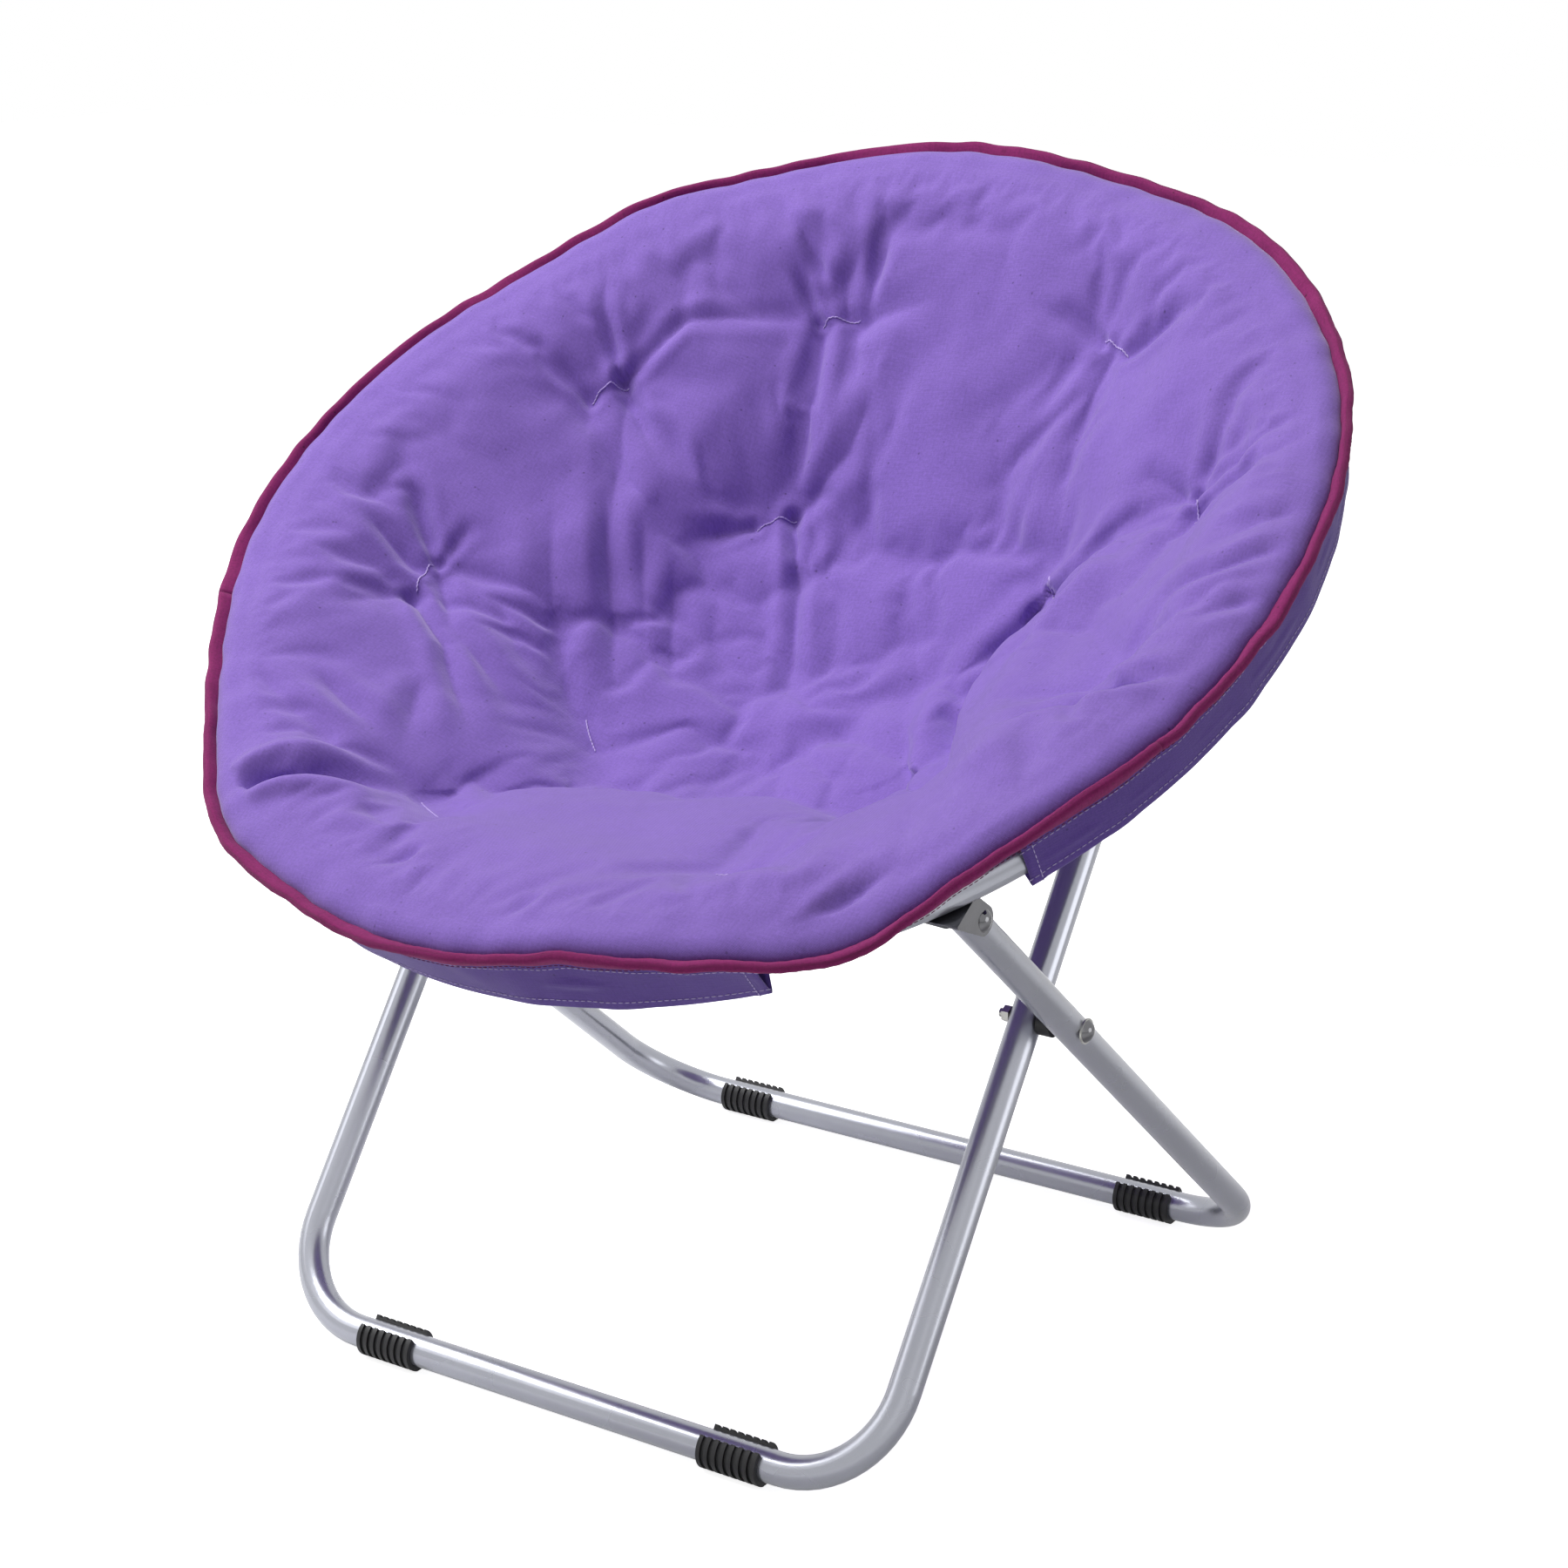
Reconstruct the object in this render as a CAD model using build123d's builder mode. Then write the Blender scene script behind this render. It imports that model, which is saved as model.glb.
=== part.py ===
from build123d import *
import os
from math import acos, asin, atan2, cos, degrees, hypot, radians, sin, sqrt, tan

# Folding moon chair. Millimetres, +Z up, the sitter faces -Y, origin on the floor below the middle.
# Two U-bent leg frames cross at each side. They carry a tilted ring in two parts, hinged at its sides,
# and a padded bowl hangs in the ring by sewn sleeves. Folding swings the front of the ring up over its
# back while the legs close like scissors.

# Tube and sheet stock
tube_d = 22.0
tube_wall = 1.2
bracket_sheet = 2.0
leaf_sheet = 3.0

# Fits
running = 0.05
slip = 0.3
leaf_fit = 1.6

# Stance
front_bar_y = -235.0
rear_bar_y = 263.5
front_leg_in = 138.5
rear_leg_in = 106.5
leg_bend_r = 68.0
leg_end = 12.0

# Ring
ring_r = 380.0
ring_tilt = 32.5
trim_y = -3.0
trim_z = 571.0
ring_drop = 25.0
hinge_v = -150.0
hinge_gap = 28.0
leaf_bend = 11.0
leaf_depth = 16.0

# Brackets, pivots and bolts
front_pivot_in = 12.0
front_pivot_drop = 33.0
back_pivot_in = 40.0
back_pivot_drop = 26.0
ear_r = 9.5
ear_room = 0.5
base_len = 26.0
rivet_d = 8.0
rivet_head_d = 14.0
rivet_head_h = 3.5
bolt_d = 6.0
bolt_head_d = 15.0
bolt_head_h = 4.5
nut_across = 10.0
nut_h = 5.0
bolt_end = 3.0
washer_d = 17.0
washer_h = 1.2
spacer_d = 18.0

# Plugs and foot pads
plug_cap = 2.0
plug_depth = 6.0
foot_wall = 2.0
rib_h = 1.5
rib_w = 3.0
rib_count = 8
foot_len = 45.0
foot_open = 70.0
foot_flat = 0.5
front_foot_in = 99.5
rear_foot_in = 92.5

# Sleeves
cloth = 1.2
front_sleeve_half = 29.0
side_sleeve_from = 53.5
bracket_gap_half = 9.0
sleeve_margin = 0.5
back_sleeve_past = 9.0

# Seat pad
pad_overhang = 19.0
pad_thick = 24.0
pad_room = 0.7
wall_slope = 33.0
floor_r = 200.0
rim_h = 6.0
crown_h = 12.0
crown_in = 35.0
binding_d = 8.0
pad_split = 1.0
tuft_outer_r = 290.0
tuft_inner_r = 166.0
outer_tufts = (24.0, 80.0, 118.0, 156.0)
inner_tufts = (45.0, 130.0)
dimple_r = 40.0
dimple_depth = 9.0
tack_len = 28.0
tack_w = 3.0
tack_h = 1.6

# Derived places
tube_r = tube_d / 2
bore_r = tube_r - tube_wall
rib_r = tube_r + foot_wall + rib_h
bar_z = rib_r - foot_flat
trim_r = ring_r + pad_overhang
crown_r = ring_r - crown_in
front_leg_x = ring_r - front_leg_in
rear_leg_x = ring_r - rear_leg_in
front_foot_x = front_leg_x - front_foot_in
rear_foot_x = rear_leg_x - rear_foot_in
slope_c = cos(radians(ring_tilt))
slope_s = sin(radians(ring_tilt))
ring_y = trim_y + ring_drop * slope_s
ring_z = trim_z - ring_drop * slope_c
ring_plane = Plane(origin=(0, ring_y, ring_z), x_dir=(1, 0, 0), z_dir=(0, -slope_s, slope_c))
ring_axis = Axis(ring_plane.origin, ring_plane.z_dir)


def slope_point(v, n):
    """Y and Z of a point v up the ring's slope and n above its plane."""
    return (ring_y + v * slope_c - n * slope_s, ring_z + v * slope_s + n * slope_c)


def side_plane(x):
    """Plane square to X whose own axes run up the ring's slope and along its normal."""
    return Plane(origin=(x, ring_y, ring_z), x_dir=(0, slope_c, slope_s), z_dir=(1, 0, 0))


def radial_plane(angle):
    """Plane through the ring's axis, its own x pointing outwards at an angle counted from the front."""
    turn = radians(angle)
    out = ring_plane.from_local_coords(Vector(sin(turn), -cos(turn), 0)) - ring_plane.origin
    return Plane(origin=ring_plane.origin, x_dir=out, z_dir=out.cross(ring_plane.z_dir))


def crossing(a, b, c, d):
    """Where the line through a and b meets the line through c and d."""
    along = (b[0] - a[0], b[1] - a[1])
    other = (d[0] - c[0], d[1] - c[1])
    turn = along[0] * other[1] - along[1] * other[0]
    share = ((c[0] - a[0]) * other[1] - (c[1] - a[1]) * other[0]) / turn
    return (a[0] + share * along[0], a[1] + share * along[1])


def past(start, end, extra):
    """The point that lies extra beyond end on the line from start."""
    reach = hypot(end[0] - start[0], end[1] - start[1])
    share = (reach + extra) / reach
    return (start[0] + share * (end[0] - start[0]), start[1] + share * (end[1] - start[1]))


front_cross_v = -sqrt(ring_r**2 - rear_leg_x**2)
back_cross_v = sqrt(ring_r**2 - front_leg_x**2)
front_pivot_v = front_cross_v + front_pivot_in
back_pivot_v = back_cross_v - back_pivot_in
front_pivot = slope_point(front_pivot_v, -front_pivot_drop)
back_pivot = slope_point(back_pivot_v, -back_pivot_drop)
front_foot = (front_bar_y, bar_z)
rear_foot = (rear_bar_y, bar_z)
cross_pivot = crossing(front_foot, back_pivot, rear_foot, front_pivot)
hinge_x = sqrt(ring_r**2 - hinge_v**2)
hinge_angle = degrees(acos(-hinge_v / ring_r))
gap_angle = degrees(hinge_gap / ring_r)
leaf_angle = degrees((hinge_gap + leaf_depth) / ring_r)
leaf_h = 2 * bore_r - leaf_fit
ear_in = tube_r + ear_room
ear_out = ear_in + bracket_sheet
spacer_end = rear_leg_x - tube_r - slip


def finish(made, name):
    """Label a finished piece and write it."""
    made.part.label = name
    export_step(made.part, f"parts/{name}.step")


os.makedirs("parts", exist_ok=True)


# Leg frames

def leg_frame(leg_x, foot, pivot):
    """One U-bent tube: a leg, the foot bar and the other leg, drilled for its pivots."""
    top = past(foot, pivot, leg_end)
    with BuildPart() as frame:
        with BuildLine() as route:
            FilletPolyline((-leg_x, *top), (-leg_x, *foot), (leg_x, *foot), (leg_x, *top),
                           radius=leg_bend_r)
        with BuildSketch(Plane(origin=route.line @ 0, z_dir=route.line % 0)):
            Circle(tube_r)
            Circle(bore_r, mode=Mode.SUBTRACT)
        sweep()
        for at, hole_d in ((pivot, rivet_d), (cross_pivot, bolt_d)):
            with Locations((-leg_x, *at), (leg_x, *at)):
                Cylinder(hole_d / 2 + running, tube_d + slip, rotation=(0, 90, 0), mode=Mode.SUBTRACT)
    return frame


def leg_plugs(leg_x, foot, pivot):
    """Plastic plugs in the open tops of one leg frame."""
    top = past(foot, pivot, leg_end)
    along = (0, top[0] - foot[0], top[1] - foot[1])
    with BuildPart() as plugs:
        with BuildSketch(Plane(origin=(leg_x, *top), z_dir=along)) as cap:
            Circle(tube_r)
        extrude(amount=plug_cap)
        fillet(plugs.edges().filter_by(GeomType.CIRCLE).sort_by(Axis.Z)[-1], radius=plug_cap / 2)
        with BuildSketch(cap.workplanes[0]):
            Circle(bore_r - running)
        extrude(amount=-plug_depth)
        mirror(about=Plane.YZ)
    return plugs


finish(leg_frame(front_leg_x, front_foot, back_pivot), "front_leg_frame")
finish(leg_frame(rear_leg_x, rear_foot, front_pivot), "rear_leg_frame")
finish(leg_plugs(front_leg_x, front_foot, back_pivot), "front_leg_plugs")
finish(leg_plugs(rear_leg_x, rear_foot, front_pivot), "rear_leg_plugs")


# Foot pads: ribbed clips, open on top, cut flat where they stand

def foot_pad(x, bar_y):
    """One clip round the foot bar, centred at x."""
    reach = 2 * rib_r
    mouth = reach * tan(radians(foot_open / 2))

    def clip_section(outer_r):
        with Locations((bar_y, bar_z)):
            Circle(outer_r)
            Circle(tube_r + running, mode=Mode.SUBTRACT)
            Polygon((0, 0), (mouth, reach), (-mouth, reach), align=None, mode=Mode.SUBTRACT)

    rib_step = (foot_len - rib_w) / (rib_count - 1)
    with BuildPart() as pad:
        with BuildSketch(Plane.YZ.offset(x - foot_len / 2)):
            clip_section(tube_r + foot_wall)
        extrude(amount=foot_len)
        for rib in range(rib_count):
            with BuildSketch(Plane.YZ.offset(x - foot_len / 2 + rib * rib_step)):
                clip_section(rib_r)
            extrude(amount=rib_w)
        split(bisect_by=Plane.XY, keep=Keep.TOP)
    return pad


for side, hand in ((-1, "left"), (1, "right")):
    finish(foot_pad(side * front_foot_x, front_bar_y), f"front_foot_pad_{hand}")
    finish(foot_pad(side * rear_foot_x, rear_bar_y), f"rear_foot_pad_{hand}")


# Ring tubes and their hinge

def ring_tube(first, last):
    """The ring's tube between two angles."""
    with BuildPart() as tube:
        with BuildSketch(radial_plane(first)):
            with Locations((ring_r, 0)):
                Circle(tube_r)
                Circle(bore_r, mode=Mode.SUBTRACT)
        revolve(axis=ring_axis, revolution_arc=last - first)
    return tube


def hinge_leaf(side, way):
    """Flat leaf from the hinge into a tube end: way -1 the front tube, inside, and 1 the back, outside."""
    plate_x = hinge_x + way * (slip + leaf_sheet) / 2
    inner = radians(hinge_angle + way * leaf_angle)
    bend = (plate_x, hinge_v + way * leaf_bend)
    tail = (ring_r * sin(inner), -ring_r * cos(inner))
    with BuildPart() as leaf:
        with BuildSketch(ring_plane.offset(-leaf_h / 2)):
            for start, end in (((plate_x, hinge_v), bend), (bend, tail)):
                run = (end[0] - start[0], end[1] - start[1])
                with Locations((side * (start[0] + end[0]) / 2, (start[1] + end[1]) / 2)):
                    Rectangle(hypot(*run), leaf_sheet, rotation=degrees(atan2(run[1], side * run[0])))
            with Locations((side * bend[0], bend[1])):
                Circle(leaf_sheet / 2)
        extrude(amount=leaf_h)
        with BuildSketch(side_plane(side * plate_x - leaf_sheet / 2)):
            with Locations((hinge_v, 0)):
                Circle(leaf_h / 2)
        extrude(amount=leaf_sheet)
        with BuildSketch(side_plane(side * plate_x - leaf_sheet)):
            with Locations((hinge_v, 0)):
                Circle(rivet_d / 2 + running)
        extrude(amount=2 * leaf_sheet, mode=Mode.SUBTRACT)
    return leaf


def dome_rivets(low_x, high_x, at, shank_d, head_d, head_h, low_head=True, high_head=True):
    """A pin at each side of the chair from low_x to high_x, with a dome on each end that has a head."""
    def dome(x, way):
        ball_r = (head_d**2 / 4 + head_h**2) / (2 * head_h)
        half = asin(head_d / 2 / ball_r) / 2
        ball_x = x + way * (head_h - ball_r)
        mid = (ball_x + way * ball_r * cos(half), ball_r * sin(half))
        ThreePointArc((x, head_d / 2), mid, (x + way * head_h, 0))
        Line((x, shank_d / 2), (x, head_d / 2))

    with BuildPart() as rivets:
        with BuildSketch(Plane(origin=(0, *at), x_dir=(1, 0, 0), z_dir=(0, 0, 1))):
            with BuildLine():
                Line((low_x, shank_d / 2), (high_x, shank_d / 2))
                ends = []
                for x, way, headed in ((low_x, -1, low_head), (high_x, 1, high_head)):
                    if headed:
                        dome(x, way)
                    else:
                        Line((x, shank_d / 2), (x, 0))
                    ends.append(x + way * head_h * headed)
                Line((ends[0], 0), (ends[1], 0))
            make_face()
        revolve(axis=Axis((0, *at), (1, 0, 0)))
        mirror(about=Plane.YZ)
    return rivets


finish(ring_tube(gap_angle - hinge_angle, hinge_angle - gap_angle), "front_ring_tube")
finish(ring_tube(hinge_angle + gap_angle, 360 - hinge_angle - gap_angle), "back_ring_tube")
for side, hand in ((-1, "left"), (1, "right")):
    finish(hinge_leaf(side, -1), f"front_hinge_leaf_{hand}")
    finish(hinge_leaf(side, 1), f"back_hinge_leaf_{hand}")
leaf_reach = slip / 2 + leaf_sheet
hinge_rivets = dome_rivets(hinge_x - leaf_reach, hinge_x + leaf_reach, slope_point(hinge_v, 0),
                           rivet_d, rivet_head_d, rivet_head_h)
finish(hinge_rivets, "ring_hinge_rivets")


# Brackets under the ring and the rivets that carry the legs

def bracket(leg_x, cross_v, pivot_v, pivot_drop):
    """U of sheet: a base under the ring tube and two leaf-shaped ears beside the leg."""
    base_n = -tube_r - bracket_sheet / 2
    below = 4 * pivot_drop
    with BuildPart() as made:
        with BuildSketch(side_plane(leg_x - ear_out)):
            with Locations((cross_v, base_n)):
                Rectangle(base_len, bracket_sheet)
            with Locations((pivot_v, -pivot_drop)):
                Circle(ear_r)
            make_hull()
        extrude(amount=2 * ear_out)
        with BuildSketch(side_plane(leg_x - ear_in)):
            with Locations(((cross_v + pivot_v) / 2, base_n - bracket_sheet / 2 - below / 2)):
                Rectangle(below, below)
        extrude(amount=2 * ear_in, mode=Mode.SUBTRACT)
        with BuildSketch(side_plane(leg_x - 2 * ear_out)):
            with Locations((pivot_v, -pivot_drop)):
                Circle(rivet_d / 2 + running)
        extrude(amount=4 * ear_out, mode=Mode.SUBTRACT)
    return made


for side, hand in ((-1, "left"), (1, "right")):
    front = bracket(side * rear_leg_x, front_cross_v, front_pivot_v, front_pivot_drop)
    back = bracket(side * front_leg_x, back_cross_v, back_pivot_v, back_pivot_drop)
    finish(front, f"front_bracket_{hand}")
    finish(back, f"back_bracket_{hand}")
for name, leg_x, at in (("front", rear_leg_x, front_pivot), ("back", front_leg_x, back_pivot)):
    pins = dome_rivets(leg_x - ear_out, leg_x + ear_out, at, rivet_d, rivet_head_d, rivet_head_h)
    finish(pins, f"{name}_pivot_rivets")


# Cross bolts: the outer half turns with the rear legs, the inner half with the front legs

head_x = rear_leg_x + tube_r + washer_h
bolts = dome_rivets(rear_leg_x - tube_r, head_x, cross_pivot, bolt_d, bolt_head_d, bolt_head_h,
                    low_head=False)
finish(bolts, "cross_bolts")
nut_x = front_leg_x - tube_r
tails = dome_rivets(nut_x - nut_h - bolt_end, spacer_end, cross_pivot, bolt_d, bolt_head_d, bolt_head_h,
                    low_head=False, high_head=False)
finish(tails, "cross_bolt_tails")

with BuildPart() as cross_nuts:
    with BuildSketch(Plane(origin=(nut_x, *cross_pivot), z_dir=(-1, 0, 0))):
        RegularPolygon(nut_across / 2, 6, major_radius=False)
        Circle(bolt_d / 2 + running, mode=Mode.SUBTRACT)
    extrude(amount=nut_h)
    mirror(about=Plane.YZ)
finish(cross_nuts, "cross_nuts")


def cross_rings(low_x, high_x, outer_d):
    """A ring round each cross bolt from low_x to high_x."""
    with BuildPart() as rings:
        with BuildSketch(Plane(origin=(low_x, *cross_pivot), z_dir=(1, 0, 0))):
            Circle(outer_d / 2)
            Circle(bolt_d / 2 + running, mode=Mode.SUBTRACT)
        extrude(amount=high_x - low_x)
        mirror(about=Plane.YZ)
    return rings


finish(cross_rings(rear_leg_x + tube_r, head_x, washer_d), "cross_washers")
finish(cross_rings(front_leg_x + tube_r, spacer_end, spacer_d), "cross_spacers")


# Sleeves: cloth round the ring tube with a flap up to the pad's edge

sleeve_r = tube_r + slip + cloth


def sleeve(first, last):
    """A sewn tunnel on the ring between two angles."""
    flap_top = (trim_r - slip, ring_drop - binding_d / 2 - slip)
    with BuildPart() as tunnel:
        with BuildSketch(radial_plane(first)):
            with Locations((ring_r, 0)):
                Circle(sleeve_r)
            with BuildLine():
                Polyline((ring_r + sleeve_r - cloth, 0), (ring_r + sleeve_r, 0), flap_top,
                         (flap_top[0] - cloth, flap_top[1]), close=True)
            make_face()
            with Locations((ring_r, 0)):
                Circle(sleeve_r - cloth, mode=Mode.SUBTRACT)
        revolve(axis=ring_axis, revolution_arc=last - first)
    return tunnel


front_end = hinge_angle - gap_angle - sleeve_margin
back_end = hinge_angle + back_sleeve_past
bracket_angle = 180 - degrees(asin(front_leg_x / ring_r))
finish(sleeve(-front_sleeve_half, front_sleeve_half), "front_sleeve")
finish(sleeve(side_sleeve_from, front_end), "side_sleeve_right")
finish(sleeve(-front_end, -side_sleeve_from), "side_sleeve_left")
finish(sleeve(back_end, bracket_angle - bracket_gap_half), "back_sleeve_right")
finish(sleeve(bracket_gap_half - bracket_angle, -back_end), "back_sleeve_left")
finish(sleeve(bracket_angle + bracket_gap_half, 360 - bracket_angle - bracket_gap_half), "rear_sleeve")


# Seat pad: a bowl that rests over the ring, crowned at its rim and drawn in by sewn tufts

wall = radians(wall_slope)
clear_r = sleeve_r + pad_room
wall_top = (ring_r - clear_r * sin(wall), clear_r * cos(wall))
lip = (ring_r + clear_r * sin(wall / 2), clear_r * cos(wall / 2))
wall_foot = (floor_r, wall_top[1] - (wall_top[0] - floor_r) * tan(wall))
bowl_r = floor_r / sin(wall)
bowl_n = wall_foot[1] + bowl_r * cos(wall)
seat_r = bowl_r - pad_thick
rim_r = trim_r - binding_d / 2 - slip


def bowl_point(radius, angle):
    """A point of the bowl's floor arc, as distance from the ring's axis and height over its plane."""
    return (radius * sin(angle), bowl_n - radius * cos(angle))


def seat_top(r):
    """Height of the pad's upper face over the ring's plane at a distance from the axis."""
    if r < seat_r * sin(wall):
        return bowl_n - sqrt(seat_r**2 - r**2)
    return bowl_n - seat_r * cos(wall) + (r - seat_r * sin(wall)) * tan(wall)


def seat_tuft(r, angle):
    """Plane on the pad's upper face at a tuft, its own z square to the face and its x along the ring."""
    turn = radians(angle)
    lean = asin(r / seat_r) if r < seat_r * sin(wall) else wall
    place = ring_plane.from_local_coords(Vector(r * sin(turn), -r * cos(turn), seat_top(r)))
    tip = Vector(-sin(lean) * sin(turn), sin(lean) * cos(turn), cos(lean))
    up = ring_plane.from_local_coords(tip) - ring_plane.origin
    along = ring_plane.from_local_coords(Vector(cos(turn), sin(turn), 0)) - ring_plane.origin
    return Plane(origin=place, x_dir=along, z_dir=up)


tufts = [(tuft_outer_r, side * angle) for angle in outer_tufts for side in (-1, 1)]
tufts += [(tuft_inner_r, side * angle) for angle in inner_tufts for side in (-1, 1)]


def pad_part(way):
    """The pad on one side of the ring hinge's line: way -1 is the front, 1 is the back."""
    with BuildPart() as pad:
        with BuildSketch(radial_plane(0)):
            with BuildLine():
                Line((rim_r, ring_drop + rim_h / 2), (rim_r, ring_drop - rim_h / 2))
                Line((rim_r, ring_drop - rim_h / 2), lip)
                ThreePointArc(lip, (ring_r, clear_r), wall_top)
                Line(wall_top, wall_foot)
                ThreePointArc(wall_foot, bowl_point(bowl_r, wall / 2), (0, bowl_n - bowl_r))
                Line((0, bowl_n - bowl_r), (0, bowl_n - seat_r))
                ThreePointArc((0, bowl_n - seat_r), bowl_point(seat_r, wall / 2),
                              bowl_point(seat_r, wall))
                Line(bowl_point(seat_r, wall), (crown_r, seat_top(crown_r)))
                ThreePointArc((crown_r, seat_top(crown_r)), (ring_r, ring_drop + crown_h),
                              (rim_r, ring_drop + rim_h / 2))
            make_face()
        revolve(axis=ring_axis)
        for r, angle in tufts:
            with Locations(seat_tuft(r, angle).offset(dimple_r - dimple_depth).origin):
                Sphere(dimple_r, mode=Mode.SUBTRACT)
        seam = (0, *slope_point(hinge_v + way * pad_split / 2, 0))
        split(bisect_by=Plane(origin=seam, z_dir=(0, way * slope_c, way * slope_s)), keep=Keep.TOP)
    return pad


def tuft_tacks(way):
    """The sewn thread bars of one part of the pad, each across its dimple."""
    seat = dimple_r - sqrt(dimple_r**2 - tack_len**2 / 4) + running
    with BuildPart() as tacks:
        for r, angle in tufts:
            if way * (-r * cos(radians(angle)) - hinge_v) > 0:
                with BuildSketch(seat_tuft(r, angle).offset(seat - dimple_depth)):
                    SlotOverall(tack_len, tack_w)
                extrude(amount=tack_h)
    return tacks


def edge_binding(first, last):
    """The tape round the pad's edge between two angles."""
    with BuildPart() as tape:
        with BuildSketch(radial_plane(first)):
            with Locations((trim_r, ring_drop)):
                Circle(binding_d / 2)
        revolve(axis=ring_axis, revolution_arc=last - first)
    return tape


split_angle = degrees(acos(-hinge_v / trim_r))
tape_gap = degrees(pad_split / trim_r)
finish(pad_part(-1), "seat_pad_front")
finish(pad_part(1), "seat_pad_back")
finish(tuft_tacks(-1), "tuft_tacks_front")
finish(tuft_tacks(1), "tuft_tacks_back")
finish(edge_binding(tape_gap - split_angle, split_angle - tape_gap), "edge_binding_front")
finish(edge_binding(split_angle + tape_gap, 360 - split_angle - tape_gap), "edge_binding_back")
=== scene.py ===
import math

import bmesh
import bpy
import numpy as np
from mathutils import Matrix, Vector, noise


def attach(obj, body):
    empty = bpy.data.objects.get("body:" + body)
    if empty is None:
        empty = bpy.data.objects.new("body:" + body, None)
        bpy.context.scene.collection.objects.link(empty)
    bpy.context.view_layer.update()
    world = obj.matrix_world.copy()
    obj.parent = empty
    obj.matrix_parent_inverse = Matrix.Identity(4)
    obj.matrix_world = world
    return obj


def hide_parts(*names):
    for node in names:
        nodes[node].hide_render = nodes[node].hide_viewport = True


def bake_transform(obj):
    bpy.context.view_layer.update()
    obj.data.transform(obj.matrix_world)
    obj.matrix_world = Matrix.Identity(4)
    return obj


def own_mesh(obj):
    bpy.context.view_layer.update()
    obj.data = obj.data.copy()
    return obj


bl_info = {
    "name": "Moon chair dressing",
    "version": (1, 0, 0),
    "blender": (4, 5, 0),
    "location": "View3D > Sidebar > Moon Chair",
    "description": "Dresses the folding moon chair: tufted pad, taped edge, sleeves, tube finish and studio",
    "category": "Object",
}

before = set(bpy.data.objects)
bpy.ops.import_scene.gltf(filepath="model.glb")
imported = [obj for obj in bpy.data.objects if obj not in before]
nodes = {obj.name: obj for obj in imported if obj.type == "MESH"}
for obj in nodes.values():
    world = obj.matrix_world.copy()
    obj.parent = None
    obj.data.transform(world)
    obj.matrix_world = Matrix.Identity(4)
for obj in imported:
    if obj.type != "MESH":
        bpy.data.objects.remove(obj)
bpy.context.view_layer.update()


def srgb(red, green, blue):
    """Linear colour from display values out of 255."""
    def linear(value):
        value /= 255
        return value / 12.92 if value <= 0.04045 else ((value + 0.055) / 1.055) ** 2.4
    return (linear(red), linear(green), linear(blue))


# The ring's own frame: x across the chair, v up the ring's slope, n square to it, in metres.
# The trim is the pad's taped edge, a circle above the ring's.

TILT = math.radians(32.5)
SLOPE_C, SLOPE_S = math.cos(TILT), math.sin(TILT)
RING_Y, RING_Z = 0.0104325, 0.5499152
RING_R = 0.380
TUBE_R = 0.011
TRIM_R, TRIM_N = 0.399, 0.025
HINGE_V = -0.150
NORMAL = (0.0, -SLOPE_S, SLOPE_C)
UP_SLOPE = (0.0, SLOPE_C, SLOPE_S)


def to_world(x, v, n):
    """Points of the ring's frame as rows of world coordinates."""
    x, v, n = np.broadcast_arrays(x, v, n)
    return np.stack([x, RING_Y + v * SLOPE_C - n * SLOPE_S, RING_Z + v * SLOPE_S + n * SLOPE_C], axis=-1)


def to_ring(points):
    """Rows of world coordinates as x, v and n of the ring's frame."""
    y = points[:, 1] - RING_Y
    z = points[:, 2] - RING_Z
    return points[:, 0], y * SLOPE_C + z * SLOPE_S, z * SLOPE_C - y * SLOPE_S


def polar(r, angle):
    """x and v at a distance from the ring's axis and an angle counted from the front."""
    return r * np.sin(angle), -r * np.cos(angle)


def turned(section, angle):
    """World points of (r, n) pairs, each at its angle from the front."""
    return to_world(*polar(section[..., 0], angle), section[..., 1])


def smooth_step(low, high, value):
    t = np.clip((value - low) / (high - low), 0, 1)
    return t * t * (3 - 2 * t)


# Section of the bowl: a round floor, a straight wall and a rolled lip

WALL = math.radians(33)
FLOOR_R = 0.200
FLOOR_N = -0.10115
PAD_THICK = 0.024
BOWL_R = FLOOR_R / math.sin(WALL)
BOWL_N = FLOOR_N + BOWL_R * math.cos(WALL)
SEAT_R = BOWL_R - PAD_THICK
SEAT_FLOOR_R = SEAT_R * math.sin(WALL)
ROLL_R = 0.322
CREST_R, CREST_N, CREST_SLOPE = 0.371, 0.032, 0.05
RIM_R, RIM_TOP, RIM_SLOPE = 0.3975, 0.0275, -1.2


def hermite(r, start, end):
    """Cubic between two (r, n, slope) knots."""
    r0, n0, m0 = start
    r1, n1, m1 = end
    t = (r - r0) / (r1 - r0)
    w = r1 - r0
    return ((2 * t**3 - 3 * t**2 + 1) * n0 + (t**3 - 2 * t**2 + t) * w * m0
            + (3 * t**2 - 2 * t**3) * n1 + (t**3 - t**2) * w * m1)


def seat_wall(r):
    """Height of the upper face's straight wall."""
    return BOWL_N - SEAT_R * math.cos(WALL) + (r - SEAT_FLOOR_R) * math.tan(WALL)


def seat_face(r):
    """Height of the pad's upper face before it is puffed and drawn in."""
    floor = BOWL_N - np.sqrt(SEAT_R**2 - np.minimum(r, SEAT_FLOOR_R)**2)
    crest = (CREST_R, CREST_N, CREST_SLOPE)
    roll = hermite(r, (ROLL_R, seat_wall(ROLL_R), math.tan(WALL)), crest)
    lip = hermite(r, crest, (RIM_R, RIM_TOP, RIM_SLOPE))
    return np.where(r < SEAT_FLOOR_R, floor,
                    np.where(r < ROLL_R, seat_wall(r), np.where(r < CREST_R, roll, lip)))


# The lower face rides over the ring's tube and hangs in a small roll outside it

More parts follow.
